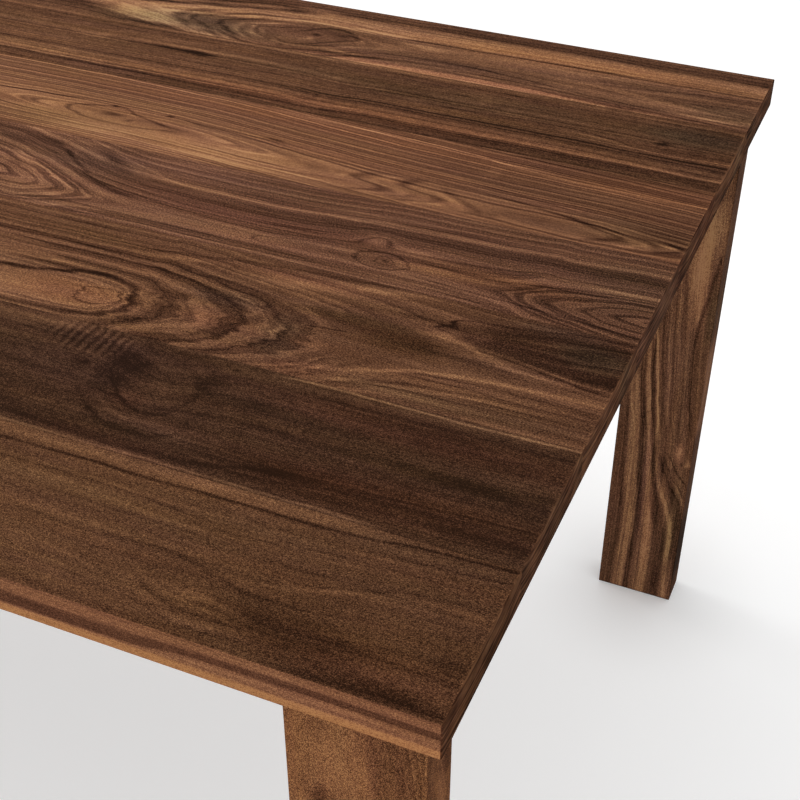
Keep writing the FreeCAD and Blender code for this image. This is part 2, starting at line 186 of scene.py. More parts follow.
class Finish:
    """A finish in the making: nodes are added by put, and the words below it are the sums used in wood."""

    NOISE_GAIN = 3.2  # takes noise, once it is about zero, to mostly within -1 and 1
    LINE_RANGE = (0.3, 0.7)  # noise along a line lies mostly within these
    SHIFTS = (1.0, 1.7, 0.6)  # how far a seed moves a pattern each way

    def __init__(self, owner):
        """Starts the finish of a new material, or of a new world."""
        owner.use_nodes = True
        self.owner = owner
        self.tree = owner.node_tree
        self.tree.nodes.clear()

    def put(self, kind, settings=None, values=None, out=0):
        """Adds a node: its settings, then the values or wires of its inputs. Gives one output or all."""
        node = self.tree.nodes.new(kind)
        for name, value in (settings or {}).items():
            if name == "stops":
                self.set_stops(node.color_ramp, value)
            elif name == "points":
                self.set_points(node.mapping, value)
            else:
                setattr(node, name, value)
        for key, value in (values or {}).items():
            if isinstance(value, Wire):
                self.tree.links.new(value.socket, node.inputs[key])
            else:
                node.inputs[key].default_value = value
        if out == "all":
            return [Wire(self, output) for output in node.outputs]
        return Wire(self, node.outputs[out])

    def set_stops(self, ramp, stops):
        for _ in stops[2:]:
            ramp.elements.new(0.5)
        for element, (at, colour) in zip(ramp.elements, stops):
            element.position = at
            element.color = (*colour, 1.0) if isinstance(colour, tuple) else (colour,) * 4

    def set_points(self, mapping, points):
        mapping.extend = "HORIZONTAL"
        curve = mapping.curves[0]
        for at, level in points[1:-1]:
            curve.points.new(at, level)
        for point, (at, level) in zip(curve.points, points):
            point.location = (at, level)
            point.handle_type = "AUTO_CLAMPED"
        mapping.update()

    def place(self):
        """The three measures of a place on the object, in mm."""
        return [measure * MM for measure in self.split(self.put("ShaderNodeTexCoord", out="Object"))]

    def split(self, vector):
        return self.put("ShaderNodeSeparateXYZ", values={0: vector}, out="all")

    def join(self, x, y, z=0.0):
        return self.put("ShaderNodeCombineXYZ", values={0: x, 1: y, 2: z})

    def vector_sum(self, kind, *vectors, out=0):
        return self.put("ShaderNodeVectorMath", {"operation": kind}, dict(enumerate(vectors)), out)

    def length(self, x, y, z=0.0):
        return self.vector_sum("LENGTH", self.join(x, y, z), out=1)

    def step(self, value, start, end, low=0.0, high=1.0):
        """Goes smoothly from low to high as the value goes from start to end."""
        settings = {"interpolation_type": "SMOOTHSTEP", "clamp": False}
        return self.put("ShaderNodeMapRange", settings, {0: value, 1: start, 2: end, 3: low, 4: high})

    def share_of(self, value, start, end):
        """Goes evenly from 0 to 1 as the value goes from start to end, and on beyond them."""
        return self.put("ShaderNodeMapRange", {"clamp": False}, {0: value, 1: start, 2: end})

    def bend(self, value, points):
        """A curve through given points of (value, level)."""
        levels = [level for _, level in points]
        low, high = min(levels), max(levels)
        if low == high:
            return low
        start, end = points[0][0], points[-1][0]
        shares = [((at - start) / (end - start), (level - low) / (high - low)) for at, level in points]
        curve = self.put("ShaderNodeFloatCurve", {"points": shares}, {1: self.share_of(value, start, end)})
        return curve * (high - low) + low

    def tones(self, value, stops):
        """A run of tones, or of colours, through stops of (value, tone). Alpha holds a plain tone."""
        start, end = stops[0][0], stops[-1][0]
        shares = [((at - start) / (end - start), tone) for at, tone in stops]
        kind = "Color" if isinstance(stops[0][1], tuple) else "Alpha"
        share = self.share_of(value, start, end)
        return self.put("ShaderNodeValToRGB", {"stops": shares}, {0: share}, out=kind)

    def mix(self, share, first, second, blend="MIX"):
        """Two colours mixed."""
        first = (*first, 1.0) if isinstance(first, tuple) else first
        second = (*second, 1.0) if isinstance(second, tuple) else second
        settings = {"data_type": "RGBA", "blend_type": blend}
        return self.put("ShaderNodeMix", settings, {0: share, 6: first, 7: second}, out=2)

    def put_between(self, first, second, share):
        """A value that goes from the first to the second with the share."""
        return first + (second - first) * share

    def cloud(self, vector, gaps, seed, detail=2.0, rough=0.5):
        """Noise about zero, stretched to the gaps, mostly within -1 and 1."""
        shift = [seed * way for way in self.SHIFTS]
        scale = [1 / gap for gap in gaps]
        laid = self.put("ShaderNodeMapping", values={0: vector, 1: shift, 3: scale})
        values = {"Vector": laid, "Scale": 1.0, "Detail": detail, "Roughness": rough}
        return (self.put("ShaderNodeTexNoise", values=values) - 0.5) * self.NOISE_GAIN

    def lines(self, value, gap, seed):
        """Uneven lines along one measure, within -1 and 1."""
        values = {"W": value / gap + seed, "Scale": 1.0, "Detail": 1.0, "Roughness": 0.55}
        noise = self.put("ShaderNodeTexNoise", {"noise_dimensions": "1D"}, values)
        return self.step(noise, *self.LINE_RANGE, -1.0, 1.0)

    def reach(self, flat, spot):
        """Distance from a spot (along, across, half length, half width, turn): 0 amid it, 1 at its rim."""
        along, across, half_length, half_width, turn = spot
        if turn == 0:
            share = (1 / half_length, 1 / half_width, 0)
            middle = (-along * share[0], -across * share[1], 0)
            return self.vector_sum("LENGTH", self.vector_sum("MULTIPLY_ADD", flat, share, middle), out=1)
        level, steep = math.cos(math.radians(turn)), math.sin(math.radians(turn))
        measures = []
        lengthwise = (level / half_length, steep / half_length, 0)
        sideways = (-steep / half_width, level / half_width, 0)
        for way in (lengthwise, sideways):
            measure = self.vector_sum("DOT_PRODUCT", flat, way, out=1)
            measures.append(measure - (along * way[0] + across * way[1]))
        return self.length(*measures)

    def close(self, colour, roughness, bump, depth, **constants):
        """Ends the finish with one plain surface."""
        normal = self.put("ShaderNodeBump", values={"Height": bump, "Distance": depth, "Strength": 1.0})
        values = {"Base Color": colour, "Roughness": roughness, "Normal": normal}
        values.update({name.replace("_", " "): value for name, value in constants.items()})
        surface = self.put("ShaderNodeBsdfPrincipled", values=values)
        self.put("ShaderNodeOutputMaterial", values={0: surface}, out="all")
        return self.owner


# ---------------------------------------------------------------------------------------------------------
# Walnut
# ---------------------------------------------------------------------------------------------------------

# What a figure holds unless it says otherwise. It may also hold an upper curve that lifts the rings on one
# side of the pith, a drift of the tone along the piece, a painted shade on its narrow flank, which is lit
# less, and an edge.
PLAIN_FIGURE = {
    "sharp": 1.6,  # 2 for round rings, less for pointed ones
    "rings": 0.1,  # how much rings, and fine rings between them, add to the tone
    "fine": 0.06,
    "gap": 1.0,  # of the rings, in parts of the mean gap
    "wander": 3.0,  # how far the figure strays across the grain, slowly and quickly, and along it
    "waver": 1.1,
    "ragged": 8.0,
    "clouds": 0.05,  # how much broad and small clouds, fibres and grit add to the tone
    "mottle": 0.03,
    "fibres": 0.11,
    "grit": 0.2,
    "cell": 1.1,  # size of the grit
    "gain": 1.2,  # contrast, and a shift of all tones
    "lift": 0.0,
    "flat_strokes": 0.0,  # share of a stroke's half width that has its full tone
    "crown": 50,  # where the arcs of the end grain are highest
    "end_tone": 0.3,
    "dark_red": 0.0,  # cast of the darkest wood, and of all of it
    "cast": (1.0, 1.0, 1.0),
    "swirls": (),
    "calms": (),
    "patches": (),
    "hoops": (),
    "ripples": (),
    "strokes": (),
    "cross_strokes": (),
    "tints": (),
}


class Walnut(Finish):
    """Oiled walnut. The figure is cut from rings round a pith that wanders above the face of the piece."""

    # Sizes of the clouds along the grain, across it and into the wood, in mm
    WANDER = (300, 80, 80)
    WAVER = (46, 26, 26)
    JAG = (30, 9, 30)
    STROKE_BREAKS = (60, 8, 8)
    BROAD_CLOUDS = (240, 30, 30)
    SMALL_CLOUDS = (22, 7, 7)
    LONG_FIBRES = (64, 2.2, 2.2)
    SHORT_FIBRES = (7, 1.5, 1.5)
    PORES = (8, 0.9, 0.9)
    REDNESS = (140, 18, 18)
    YELLOWNESS = (110, 14, 14)
    EDGE_STREAKS = (60, 9, 1.3)
    END_WARP = (30, 40, 12)
    END_CLOUDS = (20, 30, 9)
    END_DOTS = (1.2, 0.9, 0.9)

    # Reach within which a calm, a ripple and a tint are at their fullest, and where a hoop lies
    CALM_FULL = 0.7
    RIPPLE_FULL = 0.4
    TINT_FULL = 0.2
    HOOP_REACH = 0.86
    HOOP_HALF_WIDTH = 0.14

    MIDDLE_TONE = 0.4
    RING_SNAP = 0.8  # how soon a ring goes from light to dark
    FINE_GAP = 0.3  # of the fine rings, in parts of the mean gap
    STROKE_FADE = 40.0  # longest fade at the ends of a stroke, in mm
    UPPER_SIDE = (12, 45)  # where the rings of the upper side begin and are full, in mm from the pith
    SHORT_SHARE = 0.8  # strength of the short fibres, in parts of that of the long ones
    FLAT_CELL = 0.68  # breadth of the grit, in parts of its length
    EDGE_GRIT = 0.75  # strength of the grit on the long edge, in parts of that on the face
    PORES_OPEN = (0.45, 0.9)
    PORE_DARKNESS = 0.08
    WORN_LIGHTNESS = 0.1
    EASED_DARKNESS = 0.16
    STREAK_STRENGTH = 0.18

    # Height of the fibres in parts of the depth of the pores, that depth in metres, and the gloss of the oil
    FIBRE_RELIEF = 0.35
    FACE_RELIEF = 0.00012
    GLOSS = 0.002

    # The end grain: how much the arcs bend and stray, (gap in mm, strength) of its rings, the strength of its
    # clouds, and a painted shade toward its lower rim
    ARC_BEND = 0.0016
    ARC_STRAY = 1.6
    LATE_RINGS = (3.6, 0.16)
    EARLY_RINGS = (1.2, 0.09)
    END_SHADE = 0.3
    UNDER_SHADE = (16, 30, 0.0, 0.12)
    DOTS_OPEN = (0.3, 0.8)
    DOT_DARKNESS = 0.1

    # How far the hue drifts from redder to greener and from yellower to bluer, the plain hue, and the tones
    # between which the cast of the darkest wood comes in
    RED_DRIFT = 0.022
    YELLOW_DRIFT = 0.085
    PLAIN_HUE = (1.01, 0.995, 0.99)
    DARK_WOOD = (0.36, 0.12)

    # What fibres, pores, sawn ends and wear add to the roughness
    FIBRE_ROUGHNESS = 0.04
    PORE_ROUGHNESS = 0.15
    END_ROUGHNESS = 0.15
    WORN_SMOOTHNESS = 0.08

    # From where to where, in mm, a part of the long edge, or the painted shade on the narrow side of a leg,
    # takes over
    LONG_EDGE = (1.9, 0.7)
    EASED_EDGE = (2.4, 0.4)
    LOW_BANDS = (20.5, 23.5)
    LOW_CAST = (21.5, 24)
    FLANK_PAINTED_SHADE = (100.4, 101.8)

    def __init__(self, name, colours, figure):
        super().__init__(bpy.data.materials.new("walnut_" + name))
        self.colours = colours
        self.figure = {**PLAIN_FIGURE, **figure}
        self.seed = figure["seed"]

    def noise(self, spot, sizes, draw, detail=2.0, rough=0.5):
        """A cloud that differs from piece to piece and from draw to draw."""
        return self.cloud(spot, sizes, self.seed + draw, detail, rough)

    def rings_at(self, u, v, w, flat):
        """How far a point is from the pith, with the swirls round knots."""
        figure = self.figure
        sharp = figure["sharp"]
        across = v - self.bend(u, figure["centre"])
        away = (abs(across) ** sharp + (self.bend(u, figure["depth"]) + w) ** sharp) ** (1 / sharp)
        if "upper" in figure:
            away = away + self.bend(u, figure["upper"]) * self.step(across, *self.UPPER_SIDE)
        for *spot, lift in figure["swirls"]:
            away = away + self.step(self.reach(flat, spot), 1.0, 0.0, 0.0, lift)
        return away

    def calm(self, tone, flat):
        """Places where the rings give way to one tone."""
        for *spot, level in self.figure["calms"]:
            share = self.step(self.reach(flat, spot), 1.0, self.CALM_FULL)
            tone = self.put_between(tone, level, share)
        return tone

    def marks_at(self, flat):
        """Patches, hoops and ripples laid on the figure."""
        marks = 0.0
        for *spot, depth in self.figure["patches"]:
            marks = marks + self.step(self.reach(flat, spot), 1.0, 0.0, 0.0, depth)
        for *spot, depth in self.figure["hoops"]:
            off_line = abs(self.reach(flat, spot) - self.HOOP_REACH)
            marks = marks + self.step(off_line, self.HOOP_HALF_WIDTH, 0.0, 0.0, depth)
        for *spot, length, depth in self.figure["ripples"]:
            along = self.split(flat)[0]
            wave = along.sum("SINE", along * (math.tau / length))
            marks = marks + wave * self.step(self.reach(flat, spot), 1.0, self.RIPPLE_FULL, 0.0, depth)
        return marks

    def strokes_at(self, strokes, run, level):
        """Long dark or light lines through points of (run, level)."""
        marks = 0.0
        for points, half_width, depth in strokes:
            start, end = points[0][0], points[-1][0]
            fade = min(self.STROKE_FADE, (end - start) / 4)
            ends = self.step(run, start, start + fade) * self.step(run, end, end - fade)
            away = abs(level - self.bend(run, points))
            full = half_width * self.figure["flat_strokes"]
            marks = marks + self.step(away, half_width, full, 0.0, depth) * ends
        return marks

    def end_grain(self, v, w, spot):
        """Growth rings as shallow arcs, with open pores, on the sawn ends."""
        crown = v - self.figure["crown"]
        arc = w + crown * crown * self.ARC_BEND + self.noise(spot, self.END_WARP, 31) * self.ARC_STRAY
        tone = 0.0
        for draw, (gap, strength) in ((33, self.LATE_RINGS), (35, self.EARLY_RINGS)):
            tone = tone + self.lines(arc, gap, self.seed + draw) * strength
        tone = tone + self.noise(spot, self.END_CLOUDS, 39, 3.0) * self.END_SHADE
        # Painted shade: the end face is made darker toward its lower rim, by the underside of the top.
        tone = tone - self.step(w, *self.UNDER_SHADE)
        dots = self.step(self.noise(spot, self.END_DOTS, 37, 1.0), *self.DOTS_OPEN)
        return tone - dots * self.DOT_DARKNESS + self.figure["end_tone"]

    def edge_on(self, tone, u, v, w):
        """Bands along the long edge, which shows another side of the board."""
        edge = self.figure["edge"]
        bands = self.tones((w - self.bend(u, edge["middle"])) / self.bend(u, edge["spread"]), edge["bands"])
        bands = self.put_between(bands, self.tones(w, edge["low"]), self.step(w, *self.LOW_BANDS))
        bands = bands - self.step(w, *self.EASED_EDGE, 0.0, self.EASED_DARKNESS)
        streaks = self.noise(self.join(u, v, w), self.EDGE_STREAKS, 41, 3.0, 0.7)
        bands = bands + streaks * self.STREAK_STRENGTH
        return self.put_between(tone, bands, self.step(v, *self.LONG_EDGE))

    def figure_at(self, u, v, w, spot, flat):
        """Tone of the rings and of all that lies on them. u and v here stray with the grain."""
        figure, colours, seed = self.figure, self.colours, self.seed
        away = self.rings_at(u, v, w, flat)
        gap, contrast = colours.ring_gap, colours.ring_contrast
        rings = self.lines(away, gap * figure["gap"], seed)
        tone = self.step(rings, -self.RING_SNAP, self.RING_SNAP, -1.0, 1.0) * (figure["rings"] * contrast)
        tone = tone + self.lines(away, gap * self.FINE_GAP, seed + 7) * (figure["fine"] * contrast)
        tone = self.calm(tone + self.tones(away, figure["bands"]), flat)
        tone = tone + self.marks_at(flat)
        breaks = self.step(self.noise(spot, self.STROKE_BREAKS, 19), -1.1, 0.5, 0.5, 1.2)
        tone = tone + breaks * self.strokes_at(figure["strokes"], u, v)
        tone = tone + self.strokes_at(figure["cross_strokes"], v, u)
        tone = tone + self.noise(spot, self.BROAD_CLOUDS, 9) * figure["clouds"]
        return tone + self.noise(spot, self.SMALL_CLOUDS, 21, 2.0, 0.6) * figure["mottle"]

    def hue_at(self, tone, spot, flat):
        """A slight cast that drifts over the piece: redder or greener, and yellower or bluer."""
        redder = self.noise(spot, self.REDNESS, 17, 3.0) * self.RED_DRIFT
        yellower = self.noise(spot, self.YELLOWNESS, 45, 3.0) * self.YELLOW_DRIFT
        for *place, red, yellow in self.figure["tints"]:
            share = self.step(self.reach(flat, place), 1.0, self.TINT_FULL)
            redder = redder + share * red
            yellower = yellower + share * yellow
        redder = redder + self.step(tone, *self.DARK_WOOD, 0.0, self.figure["dark_red"])
        red, green, blue = self.PLAIN_HUE
        return self.join(red + redder, green - redder, blue - yellower)

    def colour_of(self, tone):
        colours = self.colours
        steps = {
            0.0: colours.knot,
            0.15: colours.dark,
            0.35: colours.brown,
            0.55: colours.warm,
            0.75: colours.tan,
            0.9: colours.light,
            1.0: colours.sapwood,
        }
        return self.tones(tone, [(at, tuple(colour)) for at, colour in steps.items()])

    def fibres_on(self, tone, v, spot):
        """Long and short fibres, and grit. Gives the tone and the long fibres."""
        figure, contrast = self.figure, self.colours.fibre_contrast
        strength, cell, grit = figure["fibres"] * contrast, figure["cell"], figure["grit"] * contrast
        fibres = self.noise(spot, self.LONG_FIBRES, 11, 3.0, 0.65)
        tone = tone + fibres * strength
        tone = tone + self.noise(spot, self.SHORT_FIBRES, 13, 1.0, 0.7) * (strength * self.SHORT_SHARE)
        if "edge" in figure:
            grit = self.step(v, *reversed(self.LONG_EDGE), grit * self.EDGE_GRIT, grit)
        sizes = (cell, cell * self.FLAT_CELL, cell * self.FLAT_CELL)
        return tone + self.noise(spot, sizes, 23, 1.0, 0.7) * grit, fibres

    def cast_at(self, colour, v, w):
        """The cast of the piece, and another one on its long edge."""
        colour = self.mix(1.0, colour, self.figure["cast"], "MULTIPLY")
        if "edge" not in self.figure:
            return colour
        edge = self.figure["edge"]
        cast = self.mix(self.step(w, *self.LOW_CAST), edge["cast"], edge["low_cast"])
        return self.mix(self.step(v, *self.LONG_EDGE), colour, self.mix(1.0, colour, cast, "MULTIPLY"))

    def wood(self, u, v, w, end_cut=None, worn=None):
        """Colours the piece. u runs along the grain, v across the seen face and w into it, in mm."""
        figure = self.figure
        spot = self.join(u, v, w)
        wander = self.noise(spot, self.WANDER, 0, 1.0) * figure["wander"]
        waver = self.noise(spot, self.WAVER, 3) * figure["waver"]
        flat_u = u + self.noise(spot, self.JAG, 5, 3.0, 0.55) * figure["ragged"]
        flat_v = v + wander + waver
        flat = self.join(flat_u, flat_v)
        tone = self.figure_at(flat_u, flat_v, w, spot, flat)
        if "drift" in figure:
            tone = tone + self.bend(u, figure["drift"])
        tone = (tone - self.MIDDLE_TONE) * figure["gain"] + (self.MIDDLE_TONE + figure["lift"])
        if "edge" in figure:
            tone = self.edge_on(tone, u, v, w)
        # Painted shade: the narrow flank of a leg is made darker because it is lit less.
        if "flank_painted_shade" in figure:
            tone = tone + self.step(v, *self.FLANK_PAINTED_SHADE, 0.0, figure["flank_painted_shade"])
        tone, fibres = self.fibres_on(tone, v, spot)
        pores = self.step(self.noise(spot, self.PORES, 15, 1.0), *self.PORES_OPEN)
        tone = tone - pores * self.PORE_DARKNESS
        roughness = self.colours.sheen + fibres * self.FIBRE_ROUGHNESS + pores * self.PORE_ROUGHNESS
        if worn is not None:
            tone = tone + worn * self.WORN_LIGHTNESS
            roughness = roughness - worn * self.WORN_SMOOTHNESS
        if end_cut is not None:
            tone = self.put_between(tone, self.end_grain(v, w, spot), end_cut)
            roughness = roughness + end_cut * self.END_ROUGHNESS
        colour = self.mix(1.0, self.colour_of(tone), self.hue_at(tone, spot, flat), "MULTIPLY")
        colour = self.cast_at(colour, v, w)
        relief = fibres * self.FIBRE_RELIEF - pores
        return self.close(colour, roughness, relief, self.FACE_RELIEF, Specular_IOR_Level=self.GLOSS)


# Figure of the seven boards, front to rear. Bands give the tone at a distance from the pith, from 0 for the
# darkest wood to 1 for sapwood. Swirls bend the rings. Calms, patches, hoops, ripples and tints lie at a spot
# (along, across, half length, half width, turn in degrees) and end with a tone, or with two casts. Strokes
# run with the grain, through (along, across), and cross strokes over it, through (across, along); both have
# a half width and a tone.
BOARD_FIGURES = {
    "top_board_1": {
        "seed": 11.3,
        "centre": [(-1829, 246), (-1200, 256), (-420, 251), (-150, 253), (-100, 257), (-40, 263), (0, 266)],
        "depth": [(-1829, 60), (-1200, 20), (-700, 34), (0, 30)],
        "bands": [
            (104, 0.4), (130, 0.38), (145, 0.36), (160, 0.39), (175, 0.36), (188, 0.38), (200, 0.36),
            (215, 0.39), (230, 0.36), (245, 0.38), (262, 0.35), (300, 0.38),
        ],
        "rings": 0.02,
        "fine": 0.02,
        "wander": 5.0,
        "mottle": 0.05,
        "clouds": 0.08,
        "fibres": 0.03,
        "grit": 0.57,
        "cell": 0.9,
        "gain": 1.15,
        "lift": -0.03,
        "drift": [(-1829, 0.02), (-400, 0.03), (-200, 0.0), (0, -0.03)],
        "swirls": [(-175, 42, 64, 24, 0, 9.0)],
        "patches": [
            (-188, 41, 34, 8, 0, 0.11), (-175, 54, 70, 7, 0, -0.07), (-112, 32, 84, 38, -5, -0.14),
            (-142, 40, 40, 12, -8, -0.1), (-330, 70, 140, 30, 0, 0.03), (-230, 56, 50, 10, 0, -0.05),
            (-170, 20, 60, 9, 4, 0.12), (-900, 60, 160, 22, 0, -0.1), (-34, 11, 66, 12, 0, -0.17),
            (-60, 68, 50, 14, 6, 0.06), (-50, 28, 40, 12, -8, 0.05), (-10, 46, 30, 16, 0, -0.1),
            (-170, 98, 90, 6, 0, -0.06), (-95, 3, 44, 7, 0, -0.12), (-213, 26, 34, 5, -20, 0.1),
            (-40, 16, 34, 9, 0, -0.06), (-270, 40, 40, 16, 0, -0.04), (-250, 111, 100, 5, 0, 0.06),
            (-70, 118, 84, 5, 4, 0.07), (-180, 98, 130, 4, 0, -0.04), (-150, 46, 130, 8, 0, -0.05),
        ],
        "strokes": [
            ([(-1890, 112), (-1200, 128), (-800, 118), (-420, 124), (-300, 126), (-150, 129), (-100, 133),
              (-60, 138), (60, 141)], 2.6, -0.26),
            ([(-1890, 134), (-420, 136), (-200, 138), (-90, 141)], 12, 0.12),
            ([(-420, 106), (-300, 108), (-200, 104), (-90, 108), (60, 112)], 2, -0.08),
            ([(-360, 88), (-250, 90), (-120, 84), (60, 92)], 2.5, -0.08),
            ([(-360, 64), (-300, 64), (-240, 67), (-190, 61), (-150, 55), (-110, 58)], 3, -0.1),
            ([(-270, 60), (-245, 46), (-222, 35), (-190, 26), (-150, 26), (-120, 30)], 2.4, -0.1),
            ([(-300, 50), (-260, 38), (-220, 22), (-180, 14), (-120, 14)], 2.4, -0.07),
            ([(-250, 48), (-225, 42), (-190, 33), (-150, 32)], 2.4, 0.08),
            ([(-190, 62), (-140, 68), (-90, 78), (-50, 87), (20, 92)], 3.5, 0.1),
            ([(-170, 74), (-110, 76), (-50, 94), (20, 101)], 2.4, -0.08),
            ([(-420, 98), (-330, 100), (-240, 96), (-160, 97), (-80, 103)], 2.6, 0.07),
            ([(-420, 84), (-340, 80), (-260, 79), (-180, 73)], 2.2, -0.07),
            ([(-380, 46), (-300, 42), (-240, 30), (-200, 12)], 2.6, 0.06),
            ([(-120, 10), (-70, 7), (-30, 9), (40, 9)], 5, -0.14),
            ([(-130, 34), (-80, 38), (-20, 34), (40, 36)], 4, -0.08),
            ([(-90, 120), (-40, 124), (40, 130)], 2.4, -0.06),
        ],
        "edge": {
            "middle": [
                (-1829, 14), (-900, 12), (-330, 16.5), (-240, 16), (-200, 13.5), (-160, 11), (-80, 10),
                (0, 10.5),
            ],
            "spread": [(-1829, 4), (-900, 3), (-330, 5), (-240, 4.5), (-190, 3.4), (-150, 2.6), (0, 2.8)],
            "bands": [
                (-5, 0.62), (-2.6, 0.71), (-1.5, 0.67), (-0.9, 0.4), (0.8, 0.36), (1.3, 0.66), (2.4, 0.76),
                (5, 0.65),
            ],
            "low": [(20, 0.7), (22.5, 0.84), (24.5, 0.96), (29, 0.95), (31, 0.8)],
            "cast": (1.05, 0.96, 1.03),
            "low_cast": (1.08, 0.95, 0.89),
        },
        "crown": 70,
        "end_tone": 0.28,
        "tints": [
            (-60, 20, 110, 36, 0, 0.035, 0.0), (-120, 42, 180, 50, 0, 0.0, 0.07),
            (-60, 130, 90, 15, 0, -0.01, -0.08), (-190, 122, 40, 16, 0, 0.0, -0.06),
            (-250, 100, 200, 24, 0, -0.015, 0.0),
        ],
        "cast": (0.99, 1.0, 0.94),
    },
    "top_board_2": {
        "seed": 27.9,
        "centre": [(-1829, 300), (-1200, 318), (-500, 300), (-300, 298), (0, 306)],
        "depth": [(-1829, 30), (-900, 12), (-500, 24), (0, 24)],
        "bands": [
            (15, 0.26), (30, 0.22), (40, 0.25), (52, 0.16), (62, 0.22), (74, 0.17), (84, 0.21), (94, 0.15),
            (104, 0.19), (116, 0.14), (128, 0.18), (138, 0.12), (146, 0.14), (160, 0.2),
        ],
        "rings": 0.02,
        "fine": 0.03,
        "ragged": 3.0,
        "mottle": 0.05,
        "fibres": 0.04,
        "grit": 0.5,
        "cell": 0.9,
        "gain": 1.3,
        "lift": 0.035,
        "swirls": [(-332, 232, 80, 66, 0, -20.0)],
        "patches": [
            (-366, 238, 30, 46, 0, -0.16), (-399, 232, 8, 4, 0, -0.2), (-296, 240, 12, 24, 0, -0.12),
            (-287, 233, 7, 4, 0, -0.18), (-284, 268, 7, 4, 0, -0.18), (-192, 171, 52, 9, 3, -0.17),
            (-60, 209, 90, 10, 0, -0.13), (-30, 160, 60, 10, 0, -0.1), (-210, 255, 60, 12, 0, 0.04),
            (-326, 222, 22, 20, 0, 0.05), (-800, 200, 200, 20, 0, 0.07), (-1300, 240, 180, 14, 0, -0.08),
            (-365, 204, 22, 12, -30, -0.08), (-305, 181, 80, 9, 0, 0.15), (-60, 188, 90, 9, 0, 0.08),
            (-410, 172, 50, 14, 0, 0.06), (-250, 232, 40, 14, 0, -0.05), (-404, 226, 11, 20, 0, -0.08),
            (-353, 178, 24, 6, -30, 0.08), (-225, 188, 130, 10, 2, 0.05), (-100, 250, 120, 12, 0, -0.06),
            (-50, 211, 64, 8, 0, -0.08), (-290, 172, 60, 9, 0, 0.06), (-285, 186, 9, 8, 0, -0.08),
            (-20, 232, 30, 12, 0, 0.06),
        ],
        "hoops": [(-330, 226, 39, 36, 0, -0.06), (-330, 222, 60, 58, 0, -0.04)],
        "ripples": [(-414, 264, 56, 30, 0, 8.5, 0.1)],
        "strokes": [
            ([(-1890, 145.5), (-420, 146), (-200, 145.5), (-90, 143)], 3.2, 0.24),
            ([(-1890, 262), (-900, 266), (-560, 266), (-500, 266), (-450, 275), (-400, 290)], 15, 0.13),
            ([(-1890, 160), (-420, 155), (-300, 151), (-250, 157), (-200, 170), (-160, 173)], 4, -0.1),
            ([(-330, 150), (-200, 160), (-100, 176), (60, 182)], 3, -0.06),
            ([(-240, 262), (-120, 264), (60, 266)], 3, -0.08),
            ([(-384, 250), (-366, 218), (-346, 199), (-324, 191), (-306, 198), (-296, 218), (-288, 250)
              ], 4, -0.14),
            ([(-402, 226), (-378, 190), (-350, 173), (-318, 168), (-292, 173), (-280, 192), (-268, 230)
              ], 5, -0.12),
            ([(-392, 236), (-372, 202), (-348, 185), (-320, 179), (-298, 186), (-284, 210)], 4, 0.06),
            ([(-265, 272), (-200, 278), (-100, 277), (60, 280)], 2.5, 0.3),
        ],
        "crown": 210,
        "end_tone": 0.26,
        "tints": [
            (-110, 172, 170, 34, 0, 0.06, 0.1), (-110, 250, 200, 26, 0, 0.06, 0.07),
            (-400, 235, 95, 62, 0, 0.0, -0.09), (-300, 190, 60, 44, 0, 0.0, -0.07),
            (-330, 150, 110, 14, 0, 0.03, 0.0), (-372, 242, 30, 40, 0, 0.0, -0.06),
            (-100, 212, 120, 12, 0, -0.01, 0.06), (-345, 205, 24, 20, 0, 0.03, 0.03),
        ],
        "cast": (1.04, 1.11, 1.12),
    },
    "top_board_3": {
        "seed": 35.1,
        "sharp": 2.1,
        "centre": [
            (-1829, 340), (-1400, 365), (-900, 345), (-600, 316), (-445, 318), (-310, 325), (-245, 335),
            (-150, 348), (0, 350),
        ],
        "depth": [
            (-1829, 90), (-1300, 18), (-1000, 60), (-700, 20), (-560, 4), (-500, 4), (-445, 14), (-425, 24),
            (-413, 31), (-398, 38.5), (-380, 44), (-344, 51), (-322, 58), (-296, 66), (-262, 72.5),
            (-236, 79), (-200, 88), (-150, 95), (0, 97),
        ],
        "upper": [(-1829, 0), (-450, 0), (-420, -5), (-380, -6), (-344, -2), (-300, -4), (-262, -2), (0, 0)],
        "bands": [
            (0, 0.56), (24, 0.58), (28, 0.5), (31, 0.2), (36, 0.42), (39, 0.56), (41, 0.32), (44, 0.13),
            (48, 0.48), (51, 0.7), (54, 0.44), (57, 0.2), (61, 0.22), (64, 0.46), (66, 0.52), (68, 0.34),
            (70, 0.2), (73, 0.2), (76, 0.34), (78, 0.6), (80, 0.5), (84, 0.36), (88, 0.44), (94, 0.4),
            (100, 0.42), (108, 0.46), (116, 0.36), (130, 0.44),
        ],
        "rings": 0.07,
        "ragged": 11.0,
        "fibres": 0.09,
        "grit": 0.47,
        "cell": 1.5,
        "gain": 1.2,
        "lift": 0.01,
        "drift": [(-1829, 0.0), (-300, 0.0), (-180, -0.02), (0, -0.06)],
        "calms": [
            (-20, 392, 138, 33, 0, 0.19), (-195, 346, 66, 44, -20, 0.37), (-545, 314, 105, 23, 0, 0.57),
            (-640, 372, 130, 9, 0, 0.44), (-575, 355, 80, 8, 3, 0.5),
        ],
        "patches": [
            (-10, 362, 60, 20, 12, -0.14), (-150, 394, 12, 12, 0, -0.1), (-60, 404, 50, 10, 12, 0.1),
            (-300, 402, 100, 16, 5, 0.2), (-530, 308, 80, 22, 0, 0.08), (-240, 374, 60, 26, 0, -0.1),
            (-490, 305, 4, 3, 0, -0.2), (-178, 362, 70, 34, 0, -0.14), (-30, 384, 40, 8, -20, 0.08),
            (-225, 420, 66, 9, 6, 0.24), (-188, 395, 48, 7, 2, -0.14), (-404, 402, 64, 5, 4, 0.16),
